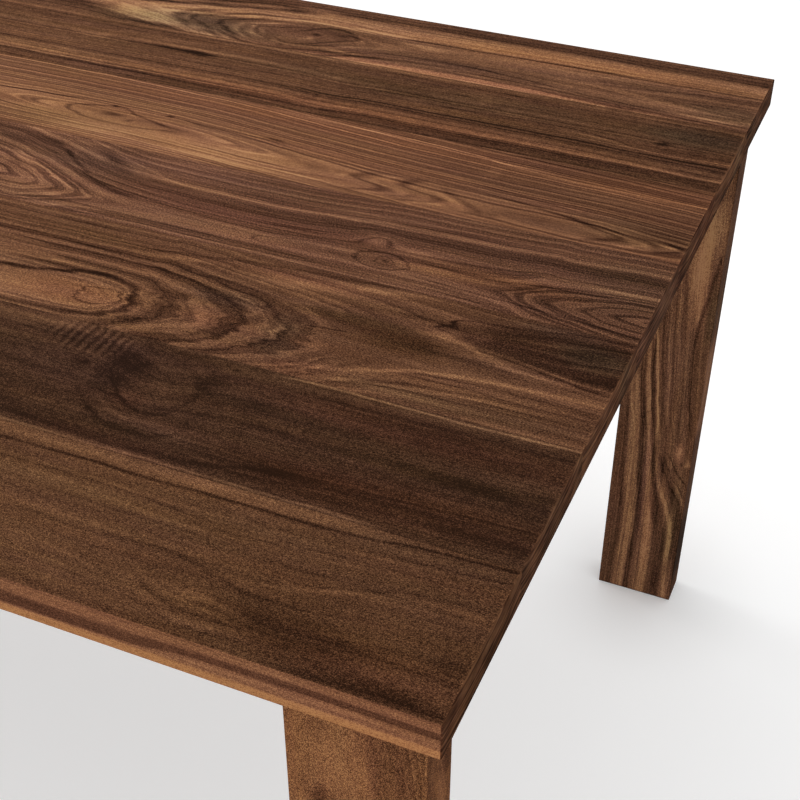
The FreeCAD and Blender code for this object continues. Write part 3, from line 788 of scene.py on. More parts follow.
            (-122, 392, 18, 14, 0, 0.12), (-8, 396, 26, 20, 0, 0.12), (-172, 315, 44, 14, 18, 0.16),
            (-100, 353, 120, 7, -2, -0.14), (-545, 388, 60, 6, 0, 0.1), (-70, 318, 80, 6, 0, 0.06),
            (-60, 293, 110, 5, 0, -0.12), (-345, 318, 14, 30, -10, 0.08), (-540, 288, 74, 8, 0, 0.14),
            (-334, 297, 16, 10, 0, 0.16), (-296, 296, 14, 12, 0, 0.12), (-281, 334, 10, 28, -8, 0.26),
            (-320, 346, 12, 8, 0, 0.12), (-270, 388, 50, 8, 0, 0.1), (-396, 334, 8, 14, 0, 0.18),
            (-377, 346, 17, 12, 20, -0.16), (-520, 336, 60, 9, 0, -0.1), (-560, 349, 40, 5, 3, 0.12),
            (-500, 284, 50, 8, 0, 0.12), (-150, 384, 12, 14, 0, 0.14), (-105, 371, 24, 6, 0, 0.16),
            (-185, 428, 44, 6, 0, 0.2), (-90, 345, 60, 6, 0, -0.1), (-15, 352, 34, 6, 0, -0.14),
            (-10, 320, 34, 5, 0, -0.12), (-30, 331, 44, 4, 0, 0.16), (-100, 308, 64, 7, 0, 0.1),
            (-40, 285, 70, 4, 0, 0.12), (-305, 338, 8, 18, -10, -0.16), (-345, 292, 24, 6, 0, 0.14),
            (-306, 294, 14, 10, 0, 0.12), (-270, 284, 14, 6, 0, 0.14), (-267, 338, 7, 22, -10, 0.16),
            (-288, 356, 20, 8, -10, 0.13), (-275, 379, 30, 5, -6, 0.1), (-470, 336, 50, 6, 0, -0.13),
            (-413, 326, 7, 16, 0, -0.13), (-446, 304, 30, 6, 0, -0.09), (-385, 350, 18, 12, 0, -0.11),
            (-398, 296, 16, 9, 20, -0.12), (-147, 395, 7, 16, 0, -0.13), (-520, 420, 50, 7, 0, -0.1),
            (-420, 400, 60, 6, 5, 0.1), (-155, 333, 34, 6, 0, 0.13),
        ],
        "hoops": [(-445, 318, 24, 15, 14, -0.22)],
        "strokes": [
            ([(-190, 378), (-140, 376), (-110, 365), (-60, 354), (60, 348)], 4.4, 0.24),
            ([(-130, 368), (-90, 356), (-40, 346), (60, 336)], 3, 0.1),
            ([(-370, 388), (-320, 382), (-270, 374), (-220, 364)], 5, -0.08),
            ([(-260, 290), (-200, 305), (-150, 324), (-80, 334), (60, 338)], 5, 0.2),
            ([(-190, 318), (-100, 324), (60, 326)], 2.5, -0.18),
            ([(-240, 283), (-150, 300), (-50, 310), (60, 313)], 4, 0.16),
            ([(-200, 292), (-120, 297), (60, 300)], 2.5, -0.16),
            ([(-120, 283), (-80, 282), (60, 284)], 2.4, 0.16),
            ([(-150, 408), (-100, 414), (-40, 424), (60, 430)], 4, -0.14),
            ([(-600, 392), (-480, 386), (-400, 377), (-330, 362), (-250, 350)], 3, -0.14),
            ([(-470, 400), (-400, 409), (-350, 419), (-240, 427), (-150, 430)], 4, -0.16),
            ([(-264, 349), (-245, 352), (-226, 355)], 1.8, -0.3),
            ([(-120, 392), (-96, 398), (-60, 402), (-20, 411), (60, 418)], 2.6, 0.1),
            ([(-110, 384), (-80, 390), (-40, 391), (60, 399)], 2.2, 0.1),
            ([(-96, 378), (-60, 378), (-20, 383), (60, 388)], 2.6, 0.12),
            ([(-100, 404), (-60, 410), (0, 416), (60, 420)], 1.6, -0.14),
            ([(-90, 384), (-50, 385), (0, 391), (60, 396)], 1.6, -0.12),
            ([(-150, 374), (-110, 371), (-60, 362), (-20, 354), (60, 346)], 2.2, -0.2),
            ([(-110, 376), (-80, 370), (-50, 364), (0, 357), (60, 350)], 2.2, 0.2),
            ([(-700, 322), (-560, 330), (-520, 336), (-490, 343), (-455, 350), (-428, 341)], 5, -0.4),
            ([(-660, 369), (-560, 369), (-460, 371), (-410, 366)], 3, -0.12),
            ([(-390, 388), (-340, 382), (-300, 376), (-250, 364)], 3, -0.14),
            ([(-375, 373), (-340, 366), (-318, 352), (-304, 332)], 4, -0.12),
            ([(-640, 342), (-560, 347), (-500, 355), (-460, 360)], 4, 0.12),
            ([(-190, 310), (-120, 317), (-60, 314), (60, 318)], 1.8, -0.14),
            ([(-130, 304), (-60, 304), (60, 306)], 1.6, -0.12),
        ],
        "cross_strokes": [([(382, -146), (390, -154), (398, -153), (406, -141), (413, -105)], 6, -0.34)],
        "crown": 350,
        "end_tone": 0.37,
        "tints": [
            (-475, 318, 80, 30, 0, 0.04, 0.08), (-345, 322, 30, 26, 0, 0.035, 0.0),
            (-275, 325, 26, 46, 0, -0.05, -0.08), (-340, 360, 60, 18, 0, -0.04, -0.13),
            (-180, 352, 70, 22, 0, 0.0, 0.14), (-25, 397, 52, 27, 0, -0.1, -0.14),
            (-100, 293, 140, 14, 0, -0.035, 0.0), (-60, 422, 60, 14, 0, -0.04, -0.14),
            (-500, 400, 200, 20, 0, 0.0, 0.06), (-290, 408, 90, 16, 0, 0.03, 0.03),
            (-225, 374, 80, 12, 0, -0.03, 0.05), (-240, 292, 50, 18, 10, 0.03, 0.0),
        ],
    },
    "top_board_4": {
        "seed": 43.7,
        "sharp": 1.45,
        "centre": [
            (-1829, 500), (-1300, 480), (-800, 490), (-645, 471), (-557, 462), (-368, 460), (-243, 463),
            (-90, 461), (0, 463),
        ],
        "depth": [
            (-1829, 14), (-1500, 40), (-1100, 6), (-900, 36), (-760, 10), (-700, 2), (-645, 8), (-600, 23),
            (-575, 32), (-550, 39), (-520, 43), (-480, 45), (-400, 46), (-243, 45), (-200, 44.5), (-160, 43),
            (-140, 41.5), (-128, 40), (-116, 37), (-104, 32), (-92, 27.5), (-74, 22.5), (-56, 18.5),
            (-32, 9.5), (0, 2),
        ],
        "upper": [(-1829, 0), (-400, 0), (-300, -4), (-220, -8), (-130, -8), (-90, 0), (0, 8)],
        "bands": [
            (0, 0.4), (6, 0.42), (9, 0.31), (11, 0.38), (17, 0.4), (19, 0.28), (21, 0.42), (25, 0.42),
            (27, 0.31), (30, 0.43), (35, 0.4), (38, 0.33), (41, 0.36), (43, 0.47), (50, 0.45), (56, 0.36),
            (60, 0.3), (64, 0.36), (68, 0.27), (72, 0.34), (76, 0.26), (81, 0.36), (84.5, 0.6), (87, 0.46),
            (90, 0.34), (94, 0.44), (98, 0.33), (104, 0.44), (110, 0.33), (118, 0.42), (128, 0.34),
        ],
        "rings": 0.09,
        "ragged": 5.0,
        "grit": 0.56,
        "cell": 1.5,
        "gain": 1.15,
        "lift": 0.02,
        "drift": [(-1829, 0.02), (-500, 0.03), (-200, 0.0), (0, -0.05)],
        "swirls": [(-262, 502, 30, 20, 0, -7.0)],
        "calms": [(-246, 468, 26, 13, 0, 0.42)],
        "patches": [
            (-572, 540, 60, 12, -34, -0.2), (-243, 469, 6, 4, 0, -0.25), (-470, 464, 110, 9, 0, -0.05),
            (-262, 500, 16, 9, 0, 0.16), (-200, 470, 30, 8, 0, 0.08), (-626, 470, 60, 30, 0, 0.13),
            (-20, 445, 60, 14, 0, -0.04), (-480, 507, 90, 7, 0, 0.09), (-310, 462, 64, 13, 0, -0.14),
            (-592, 452, 32, 10, 0, 0.12), (-550, 464, 26, 9, 0, 0.16), (-672, 497, 24, 9, -30, 0.14),
            (-222, 489, 56, 9, 0, 0.18), (-200, 536, 130, 8, 4, -0.12), (-380, 518, 110, 6, 0, -0.1),
            (-60, 500, 90, 8, 0, 0.06), (-645, 500, 44, 9, -30, 0.22), (-220, 443, 70, 6, 0, 0.18),
            (-690, 536, 40, 10, -20, -0.1), (-690, 559, 54, 6, 0, 0.14), (-600, 557, 34, 6, 0, 0.14),
            (-580, 455, 60, 8, 0, 0.1), (-228, 470, 12, 10, 0, 0.14), (-130, 474, 54, 5, 0, -0.14),
            (-286, 464, 20, 8, 0, -0.12), (-225, 494, 36, 7, 0, 0.1), (-175, 441, 74, 5, 0, 0.12),
            (-390, 527, 140, 9, 0, -0.13), (-430, 509, 74, 5, 0, 0.1), (-345, 488, 64, 6, 0, -0.13),
            (-262, 494, 18, 7, 0, 0.15), (-170, 484, 94, 5, -2, 0.12), (-130, 500, 64, 5, 0, -0.12),
            (-272, 461, 16, 10, 0, -0.12), (-625, 446, 44, 9, 0, 0.15), (-540, 462, 14, 8, 0, 0.15),
            (-560, 556, 54, 6, -14, -0.13), (-622, 536, 34, 7, -16, 0.17), (-560, 527, 30, 8, -10, -0.13),
            (-480, 558, 94, 7, 4, 0.15), (-690, 550, 30, 6, 0, 0.1), (-210, 537, 124, 7, 0, -0.08),
            (-588, 552, 28, 5, -16, 0.14),
        ],
        "hoops": [(-246, 468, 29, 15, 0, -0.24), (-243, 469, 10, 7, 0, -0.22)],
        "strokes": [
            ([(-760, 558), (-700, 563), (-620, 562), (-580, 553), (-520, 531), (-450, 517), (-380, 518),
              (-280, 524), (-150, 529)], 2.4, 0.16),
            ([(-760, 548), (-700, 552), (-620, 550), (-570, 538), (-520, 520), (-450, 508), (-350, 509),
              (-250, 516), (60, 530)], 4, -0.05),
            ([(-670, 553), (-625, 536), (-588, 509), (-550, 487), (-490, 472)], 6, -0.22),
            ([(-720, 547), (-640, 528), (-590, 502), (-550, 482), (-480, 469), (-400, 467)], 5, -0.12),
            ([(-600, 566), (-560, 556), (-500, 541), (-430, 534), (-300, 538), (-150, 546), (60, 552)
              ], 2.4, 0.1),
            ([(-700, 519), (-660, 511), (-630, 498), (-600, 482), (-575, 470), (-545, 463)], 3, 0.2),
            ([(-222, 479), (-150, 476), (-100, 483), (60, 493)], 2.6, -0.2),
            ([(-222, 457), (-180, 452), (-120, 447), (-60, 441), (60, 434)], 2.6, -0.2),
            ([(-1890, 436), (-600, 437), (-400, 438), (-250, 434), (-100, 436)], 2, 0.2),
            ([(-600, 446), (-480, 448), (-360, 446), (-280, 442)], 2.4, -0.16),
            ([(-230, 502), (-120, 500), (60, 506)], 3, 0.12),
            ([(-600, 508), (-540, 497), (-470, 488), (-400, 485), (-330, 491), (-285, 502)], 2.2, -0.14),
            ([(-570, 494), (-500, 482), (-440, 475), (-380, 472), (-330, 477), (-290, 488)], 1.8, -0.14),
            ([(-640, 516), (-560, 504), (-500, 494), (-430, 490), (-360, 492), (-300, 502)], 1.6, 0.1),
        ],
        "cross_strokes": [([(446, -308), (452, -344), (460, -368), (468, -344), (476, -304)], 5, -0.2)],
        "crown": 500,
        "end_tone": 0.29,
        "dark_red": -0.03,
        "tints": [
            (-500, 545, 190, 26, 0, 0.0, -0.08), (-580, 520, 80, 40, 0, -0.03, -0.1),
            (-150, 474, 130, 24, 0, 0.02, 0.13), (-30, 510, 70, 62, 0, -0.04, -0.04),
            (-400, 490, 210, 30, 0, 0.03, 0.0), (-600, 440, 90, 12, 0, -0.02, 0.0),
            (-270, 478, 30, 14, 0, 0.0, 0.08),
        ],
        "cast": (1.0, 0.99, 1.08),
    },
    "top_board_5": {
        "seed": 52.2,
        "sharp": 2.0,
        "centre": [
            (-1829, 600), (-1400, 640), (-900, 625), (-620, 620), (-400, 604), (-245, 592), (-68, 583),
            (0, 578),
        ],
        "depth": [
            (-1829, 40), (-1500, 12), (-1200, 34), (-900, 26), (-760, 20), (-700, 16), (-620, 14),
            (-500, 16), (-400, 20), (-300, 22), (-200, 22), (-110, 20), (-68, 22), (0, 26),
        ],
        "bands": [
            (0, 0.62), (20, 0.62), (25, 0.56), (28, 0.49), (31, 0.54), (35, 0.48), (38, 0.38), (41, 0.5),
            (45, 0.38), (49, 0.48), (53, 0.38), (58, 0.5), (63, 0.4), (68, 0.5), (73, 0.4), (78, 0.46),
            (82, 0.38), (86, 0.5), (91, 0.4), (96, 0.48), (103, 0.38), (112, 0.46),
        ],
        "rings": 0.15,
        "gap": 0.5,
        "ragged": 4.0,
        "grit": 0.24,
        "cell": 1.6,
        "gain": 1.15,
        "lift": 0.06,
        "drift": [(-1829, 0.04), (-700, 0.06), (-400, 0.04), (-200, -0.02), (0, -0.08)],
        "calms": [(-300, 588, 130, 17, -3, 0.56), (-590, 608, 125, 17, -3, 0.6)],
        "patches": [
            (-630, 640, 7, 4, 0, -0.4), (-565, 640, 7, 4, 0, -0.38), (-440, 636, 18, 4, 0, -0.3),
            (-622, 622, 26, 5, 12, -0.2), (-480, 590, 200, 17, 0, 0.1), (-376, 600, 24, 13, 0, -0.12),
            (-140, 588, 70, 16, 0, -0.16), (-20, 600, 60, 30, 0, -0.12), (-200, 655, 260, 24, -6, -0.03),
            (-720, 622, 60, 12, 0, -0.2), (-500, 690, 160, 12, 0, 0.05), (-628, 624, 16, 6, 0, -0.24),
            (-598, 616, 10, 4, 20, -0.2), (-560, 604, 70, 6, 0, 0.06), (-470, 576, 200, 9, 0, 0.22),
            (-630, 583, 90, 20, 0, 0.18), (-430, 610, 50, 9, 0, -0.16), (-610, 632, 170, 8, -2, -0.12),
            (-530, 620, 160, 14, -2, -0.18), (-600, 565, 120, 6, 0, 0.12), (-545, 608, 22, 8, 0, -0.14),
            (-60, 670, 130, 14, 0, 0.06), (-210, 664, 12, 20, 0, 0.1), (-18, 584, 12, 10, 0, 0.2),
            (-655, 627, 74, 7, 0, -0.18), (-750, 614, 54, 10, 0, -0.15), (-226, 592, 34, 9, -30, 0.16),
            (-312, 604, 14, 8, 0, -0.13), (-275, 583, 26, 6, 20, -0.13), (-70, 580, 54, 8, 0, -0.14),
            (-345, 595, 8, 8, 0, 0.1), (-450, 566, 300, 5, 0, 0.05), (-250, 580, 26, 8, 20, 0.17),
            (-16, 587, 26, 8, -20, 0.14), (-500, 578, 140, 12, 0, 0.08), (-400, 604, 60, 5, 0, -0.08),
            (-560, 634, 120, 4, 0, -0.08), (-60, 650, 104, 8, 0, 0.06), (-180, 681, 44, 8, 0, 0.08),
            (-184, 582, 12, 8, 0, -0.16), (-238, 582, 14, 8, 0, 0.13), (-350, 601, 9, 8, 0, -0.12),
        ],
        "strokes": [
            ([(-668, 615), (-645, 607), (-600, 604), (-560, 608), (-530, 613)], 3, -0.2),
            ([(-680, 628), (-645, 636), (-628, 640), (-600, 630), (-560, 619), (-528, 614)], 3.4, -0.3),
            ([(-800, 636), (-700, 642), (-640, 646), (-560, 641), (-480, 634), (-400, 630)], 3, -0.2),
            ([(-560, 640), (-480, 628), (-400, 622), (-330, 618), (-240, 616)], 2.6, -0.2),
            ([(-480, 701), (-400, 697), (-260, 692), (-210, 684), (-150, 677), (-60, 673), (60, 672)
              ], 2.6, 0.22),
            ([(-430, 690), (-300, 685), (-200, 675), (-100, 667), (60, 662)], 2.4, -0.04),
            ([(-220, 703), (-100, 702), (60, 703)], 6, -0.14),
            ([(-290, 642), (-200, 632), (-130, 622), (-60, 610), (60, 600)], 3, 0.1),
            ([(-280, 626), (-200, 618), (-130, 608), (-60, 596), (60, 590)], 3.4, -0.22),
            ([(-240, 636), (-160, 626), (-80, 613), (60, 604)], 2.6, -0.18),
            ([(-460, 580), (-400, 583), (-350, 586), (-310, 590)], 2.4, -0.14),
        ],
        "cross_strokes": [
            ([(604, -636), (612, -660), (624, -678), (632, -664), (640, -636)], 7, -0.28),
            ([(569, -354), (577, -322), (588, -296), (600, -332), (609, -324), (619, -296)], 14, -0.26),
            ([(569, -330), (578, -300), (588, -276), (600, -312), (609, -302), (619, -280)], 9, 0.12),
            ([(568, -300), (577, -266), (589, -239), (602, -283), (612, -276), (623, -258)], 13, -0.26),
            ([(571, -222), (582, -200), (592, -212), (604, -236), (615, -244)], 14, -0.18),
            ([(567, -100), (576, -78), (585, -62), (594, -84), (602, -106), (610, -130)], 13, -0.3),
            ([(567, -70), (577, -50), (586, -36), (594, -52), (602, -76)], 8, 0.14),
            ([(572, -30), (580, -14), (588, -4), (594, -16), (600, -34)], 8, -0.24),
        ],
        "crown": 640,
        "end_tone": 0.28,
        "dark_red": 0.02,
        "tints": [
            (-400, 688, 420, 26, 0, 0.03, 0.03), (-40, 600, 100, 34, 0, -0.04, 0.0),
            (-40, 680, 130, 30, 0, 0.03, 0.07), (-650, 600, 150, 40, 0, -0.02, 0.02),
            (-330, 630, 160, 20, 0, 0.02, 0.04),
        ],
        "cast": (1.02, 0.99, 1.0),
    },
    "top_board_6": {
        "seed": 64.8,
        "centre": [(-1829, 604), (-900, 597), (-500, 600), (-435, 594), (-380, 597), (-200, 596), (0, 592)],
        "depth": [(-1829, 0.5), (0, 0.0)],
        "bands": [
            (104, 0.42), (108, 0.32), (112, 0.25), (122, 0.28), (125, 0.2), (128, 0.34), (130, 0.46),
            (132, 0.24), (136, 0.5), (138, 0.6), (141, 0.36), (144, 0.42), (155, 0.36), (158, 0.14),
            (161, 0.34), (172, 0.38), (180, 0.3), (192, 0.36), (200, 0.28), (204, 0.42), (212, 0.3),
            (224, 0.36), (232, 0.27), (240, 0.34), (250, 0.28), (262, 0.4),
        ],
        "rings": 0.05,
        "wander": 1.2,
        "mottle": 0.07,
        "clouds": 0.08,
        "grit": 0.3,
        "cell": 1.8,
        "gain": 1.25,
        "lift": 0.06,
        "drift": [(-1829, 0.03), (-700, 0.03), (-350, -0.01), (0, -0.05)],
        "patches": [
            (-650, 796, 80, 8, 0, -0.3), (-618, 796, 30, 8, 0, -0.34), (-72, 786, 16, 6, 0, -0.36),
            (-600, 806, 150, 5, 0, 0.16), (-380, 800, 80, 34, 0, -0.05), (-30, 810, 70, 34, 0, -0.1),
            (-250, 833, 24, 3, 0, -0.22), (-300, 812, 34, 3, 0, -0.22), (-438, 744, 8, 10, 0, 0.1),
            (-446, 748, 5, 12, 0, -0.16), (-700, 825, 120, 6, 0, -0.06), (-1200, 790, 60, 9, 0, -0.25),
            (-400, 812, 20, 3, 0, -0.12), (-40, 780, 40, 12, 0, -0.08), (-600, 772, 120, 6, 0, -0.1),
            (-760, 797, 44, 12, 0, 0.16), (-390, 794, 50, 7, 0, 0.12), (-230, 786, 50, 6, 0, 0.12),
            (-380, 840, 110, 7, 0, 0.12), (-110, 831, 130, 6, -2, 0.14), (-360, 722, 80, 6, 0, 0.1),
            (-550, 815, 90, 6, 0, -0.08), (-455, 738, 54, 6, 0, -0.16), (-280, 815, 84, 26, 0, 0.07),
            (-20, 735, 44, 8, 0, -0.1), (-700, 740, 120, 6, 0, -0.06), (-440, 752, 20, 4, 0, 0.12),
        ],
        "strokes": [
            ([(-500, 762), (-460, 759), (-430, 757), (-380, 761), (-250, 760), (-150, 759), (-80, 757),
              (60, 762)], 3.2, -0.26),
            ([(-1890, 742), (-760, 741), (-480, 741), (-440, 735), (-410, 735), (-380, 738), (-200, 738),
              (-100, 735), (60, 733)], 1.7, 0.18),
            ([(-1890, 731), (-700, 729), (-480, 731), (-440, 726), (-380, 731), (-200, 731), (60, 725)
              ], 2.2, 0.2),
            ([(-1890, 726), (-700, 724), (-440, 720), (-380, 725), (-200, 725), (60, 719)], 3.4, -0.16),
            ([(-1890, 842), (-300, 842), (-150, 840), (60, 836)], 4.5, 0.2),
            ([(-320, 832), (-200, 829), (-100, 834), (60, 828)], 2.6, -0.08),
            ([(-190, 779), (-130, 772), (-80, 764), (-50, 765), (60, 769)], 3, 0.2),
            ([(-330, 778), (-200, 783), (-120, 774), (-70, 758), (60, 757)], 2.6, -0.14),
        ],
        "crown": 780,
        "end_tone": 0.37,
        "dark_red": -0.02,
        "tints": [
            (-400, 733, 470, 26, 0, 0.045, 0.06), (-300, 800, 420, 30, 0, -0.03, -0.01),
            (-42, 812, 84, 30, 0, -0.09, -0.16), (-700, 716, 100, 18, 0, 0.0, -0.09),
            (-280, 770, 200, 12, 0, 0.0, 0.06),
        ],
        "cast": (1.0, 1.0, 0.98),
    },
    "top_board_7": {
        "seed": 71.4,
        "sharp": 1.5,
        "centre": [
            (-1829, 930), (-1300, 900), (-900, 915), (-560, 890), (-450, 897), (-300, 901), (-100, 892),
            (0, 889),
        ],
        "depth": [
            (-1829, 40), (-1500, 85), (-1250, 20), (-1100, 70), (-900, 66), (-760, 64), (-700, 58),
            (-680, 54), (-640, 40), (-600, 24), (-560, 12), (-530, 4), (-500, 8), (-468, 20), (-410, 30),
            (-350, 33), (-300, 34), (-180, 30), (-60, 22), (0, 18),
        ],
        "upper": [(-1829, 0), (-640, 0), (-600, 2), (-560, 5), (-450, 7), (-400, 5), (-350, 3), (0, 2)],
        "bands": [
            (0, 0.4), (20, 0.46), (24, 0.3), (28, 0.56), (32, 0.5), (36, 0.22), (40, 0.4), (44, 0.46),
            (47, 0.5), (50, 0.26), (54, 0.6), (58, 0.72), (64, 0.78), (68, 0.66), (73, 0.76), (77, 0.5),
            (81, 0.18), (88, 0.14), (92, 0.3), (96, 0.22), (102, 0.38), (114, 0.3), (130, 0.4),
        ],
        "rings": 0.07,
        "ragged": 5.0,
        "grit": 0.3,
        "cell": 1.9,
        "gain": 1.0,
        "lift": 0.08,
        "calms": [
            (-530, 892, 64, 31, 10, 0.36), (-290, 908, 130, 20, 0, 0.46), (-190, 866, 190, 15, -4, 0.44),
            (-650, 888, 62, 30, 0, 0.36),
        ],
        "patches": [
            (-518, 898, 10, 7, 0, -0.36), (-484, 907, 26, 14, 14, -0.24), (-505, 914, 30, 11, 14, -0.14),
            (-540, 880, 34, 12, 10, 0.12), (-522, 886, 8, 5, 40, 0.2), (-745, 878, 56, 16, -10, 0.14),
            (-10, 912, 80, 14, 8, -0.12), (-30, 892, 60, 6, 0, -0.16), (-545, 858, 8, 3, 0, -0.3),
            (-90, 880, 90, 6, -5, 0.06), (-620, 880, 16, 14, 0, 0.1), (-320, 882, 80, 9, 0, -0.16),
            (-548, 966, 52, 8, 0, 0.35), (-420, 962, 74, 7, 0, 0.24), (-715, 857, 44, 8, 0, 0.34),
            (-460, 937, 64, 5, 0, -0.16), (-205, 893, 64, 8, 0, 0.2), (-212, 868, 54, 5, 0, 0.3),
            (-40, 861, 64, 5, 0, 0.4), (-26, 871, 60, 5, 0, -0.35), (-320, 930, 150, 5, 0, 0.16),
            (-400, 857, 110, 6, 0, -0.2), (-465, 863, 44, 5, 0, 0.3), (-765, 880, 30, 20, 0, 0.2),
            (-690, 882, 16, 14, 0, 0.2), (-650, 857, 40, 7, 0, -0.12), (-300, 858, 64, 5, 0, -0.15),
            (-170, 848, 64, 3, 0, -0.2), (-462, 899, 9, 12, 20, 0.2), (-445, 890, 16, 8, 20, -0.14),
            (-340, 865, 60, 4, 0, -0.14), (-480, 864, 30, 5, 0, 0.14), (-625, 852, 20, 6, -20, -0.15),
            (-597, 890, 8, 9, 0, 0.18), (-520, 905, 9, 8, 0, 0.14), (-522, 884, 14, 8, 40, 0.14),
            (-750, 865, 84, 13, -8, 0.6), (-588, 880, 16, 28, 30, 0.22), (-640, 856, 26, 7, 0, -0.3),
            (-395, 914, 60, 12, 0, 0.3), (-260, 918, 190, 17, 0, 0.18), (-560, 858, 50, 10, 0, 0.12),
            (-430, 962, 50, 7, 0, 0.16), (-60, 941, 110, 10, 0, -0.14), (-80, 963, 90, 6, 0, 0.14),
            (-50, 858, 70, 5, -4, 0.2), (-170, 918, 80, 9, 4, 0.12),
        ],
        "strokes": [
            ([(-450, 876), (-400, 881), (-350, 884), (-280, 879), (-200, 869), (-100, 861), (60, 853)
              ], 3.4, -0.24),
            ([(-360, 861), (-300, 867), (-220, 864), (-100, 854), (60, 848)], 3, -0.24),
            ([(-560, 848), (-450, 848), (-300, 848), (-200, 848), (-120, 848)], 2.2, 0.1),
            ([(-500, 857), (-380, 862), (-260, 857), (-100, 849)], 5, -0.22),
            ([(-860, 898), (-700, 927), (-650, 938), (-600, 948), (-560, 955), (-530, 959)], 9, -0.55),
            ([(-740, 888), (-680, 902), (-640, 910), (-600, 919), (-560, 927), (-520, 932), (-460, 932),
              (-400, 930)], 8, 0.42),
            ([(-470, 862), (-400, 870), (-340, 874), (-260, 871), (-180, 864)], 2.4, -0.16),
            ([(-240, 886), (-170, 880), (-100, 874), (60, 862)], 7, 0.18),
            ([(-190, 896), (-120, 905), (-60, 915), (60, 926)], 4, -0.18),
            ([(-440, 932), (-350, 927), (-200, 930), (60, 938)], 2.6, -0.24),
            ([(-420, 958), (-360, 954), (-300, 955)], 3, -0.2),
            ([(-470, 905), (-440, 908), (-410, 912), (-380, 910)], 3, -0.2),
            ([(-760, 851), (-720, 847), (-690, 845)], 2.6, -0.2),
            ([(-600, 848), (-560, 848), (-500, 856), (-450, 868), (-420, 880)], 3, -0.24),
            ([(-556, 890), (-540, 902), (-520, 915), (-500, 922), (-482, 917), (-464, 904)], 4.5, -0.3),
            ([(-575, 884), (-560, 872), (-540, 864), (-515, 866), (-490, 876), (-468, 888)], 3.0, -0.2),
        ],
        "cross_strokes": [
            ([(857, -545), (868, -570), (879, -588), (889, -592), (900, -572), (911, -540), (922, -505)
              ], 7, -0.28),
            ([(858, -540), (872, -512), (886, -492), (897, -476), (905, -466), (912, -480), (921, -500)
              ], 7, -0.24),
            ([(850, -575), (862, -596), (876, -612), (888, -616), (902, -594), (918, -560), (930, -530)
              ], 8, 0.22),
            ([(848, -592), (862, -612), (876, -628), (889, -640), (900, -628), (914, -602), (930, -568)
              ], 9, -0.28),
            ([(848, -618), (862, -640), (876, -660), (888, -680), (900, -664), (914, -640), (930, -604)
              ], 10, -0.24),
            ([(848, -650), (862, -672), (876, -690), (887, -702), (900, -694), (915, -672), (930, -640)
              ], 14, -0.22),
        ],
        "crown": 900,
        "end_tone": 0.23,
        "dark_red": -0.03,
        "tints": [
            (-660, 875, 135, 42, 0, -0.08, -0.16), (-750, 862, 80, 40, 0, -0.05, 0.0),
            (-300, 852, 310, 10, 0, 0.05, 0.0), (-200, 940, 310, 24, 0, 0.035, 0.14),
            (-380, 878, 170, 16, 0, -0.01, -0.09), (-20, 880, 70, 30, 0, -0.05, -0.06),
        ],
        "cast": (1.0, 1.0, 1.03),
    },
}

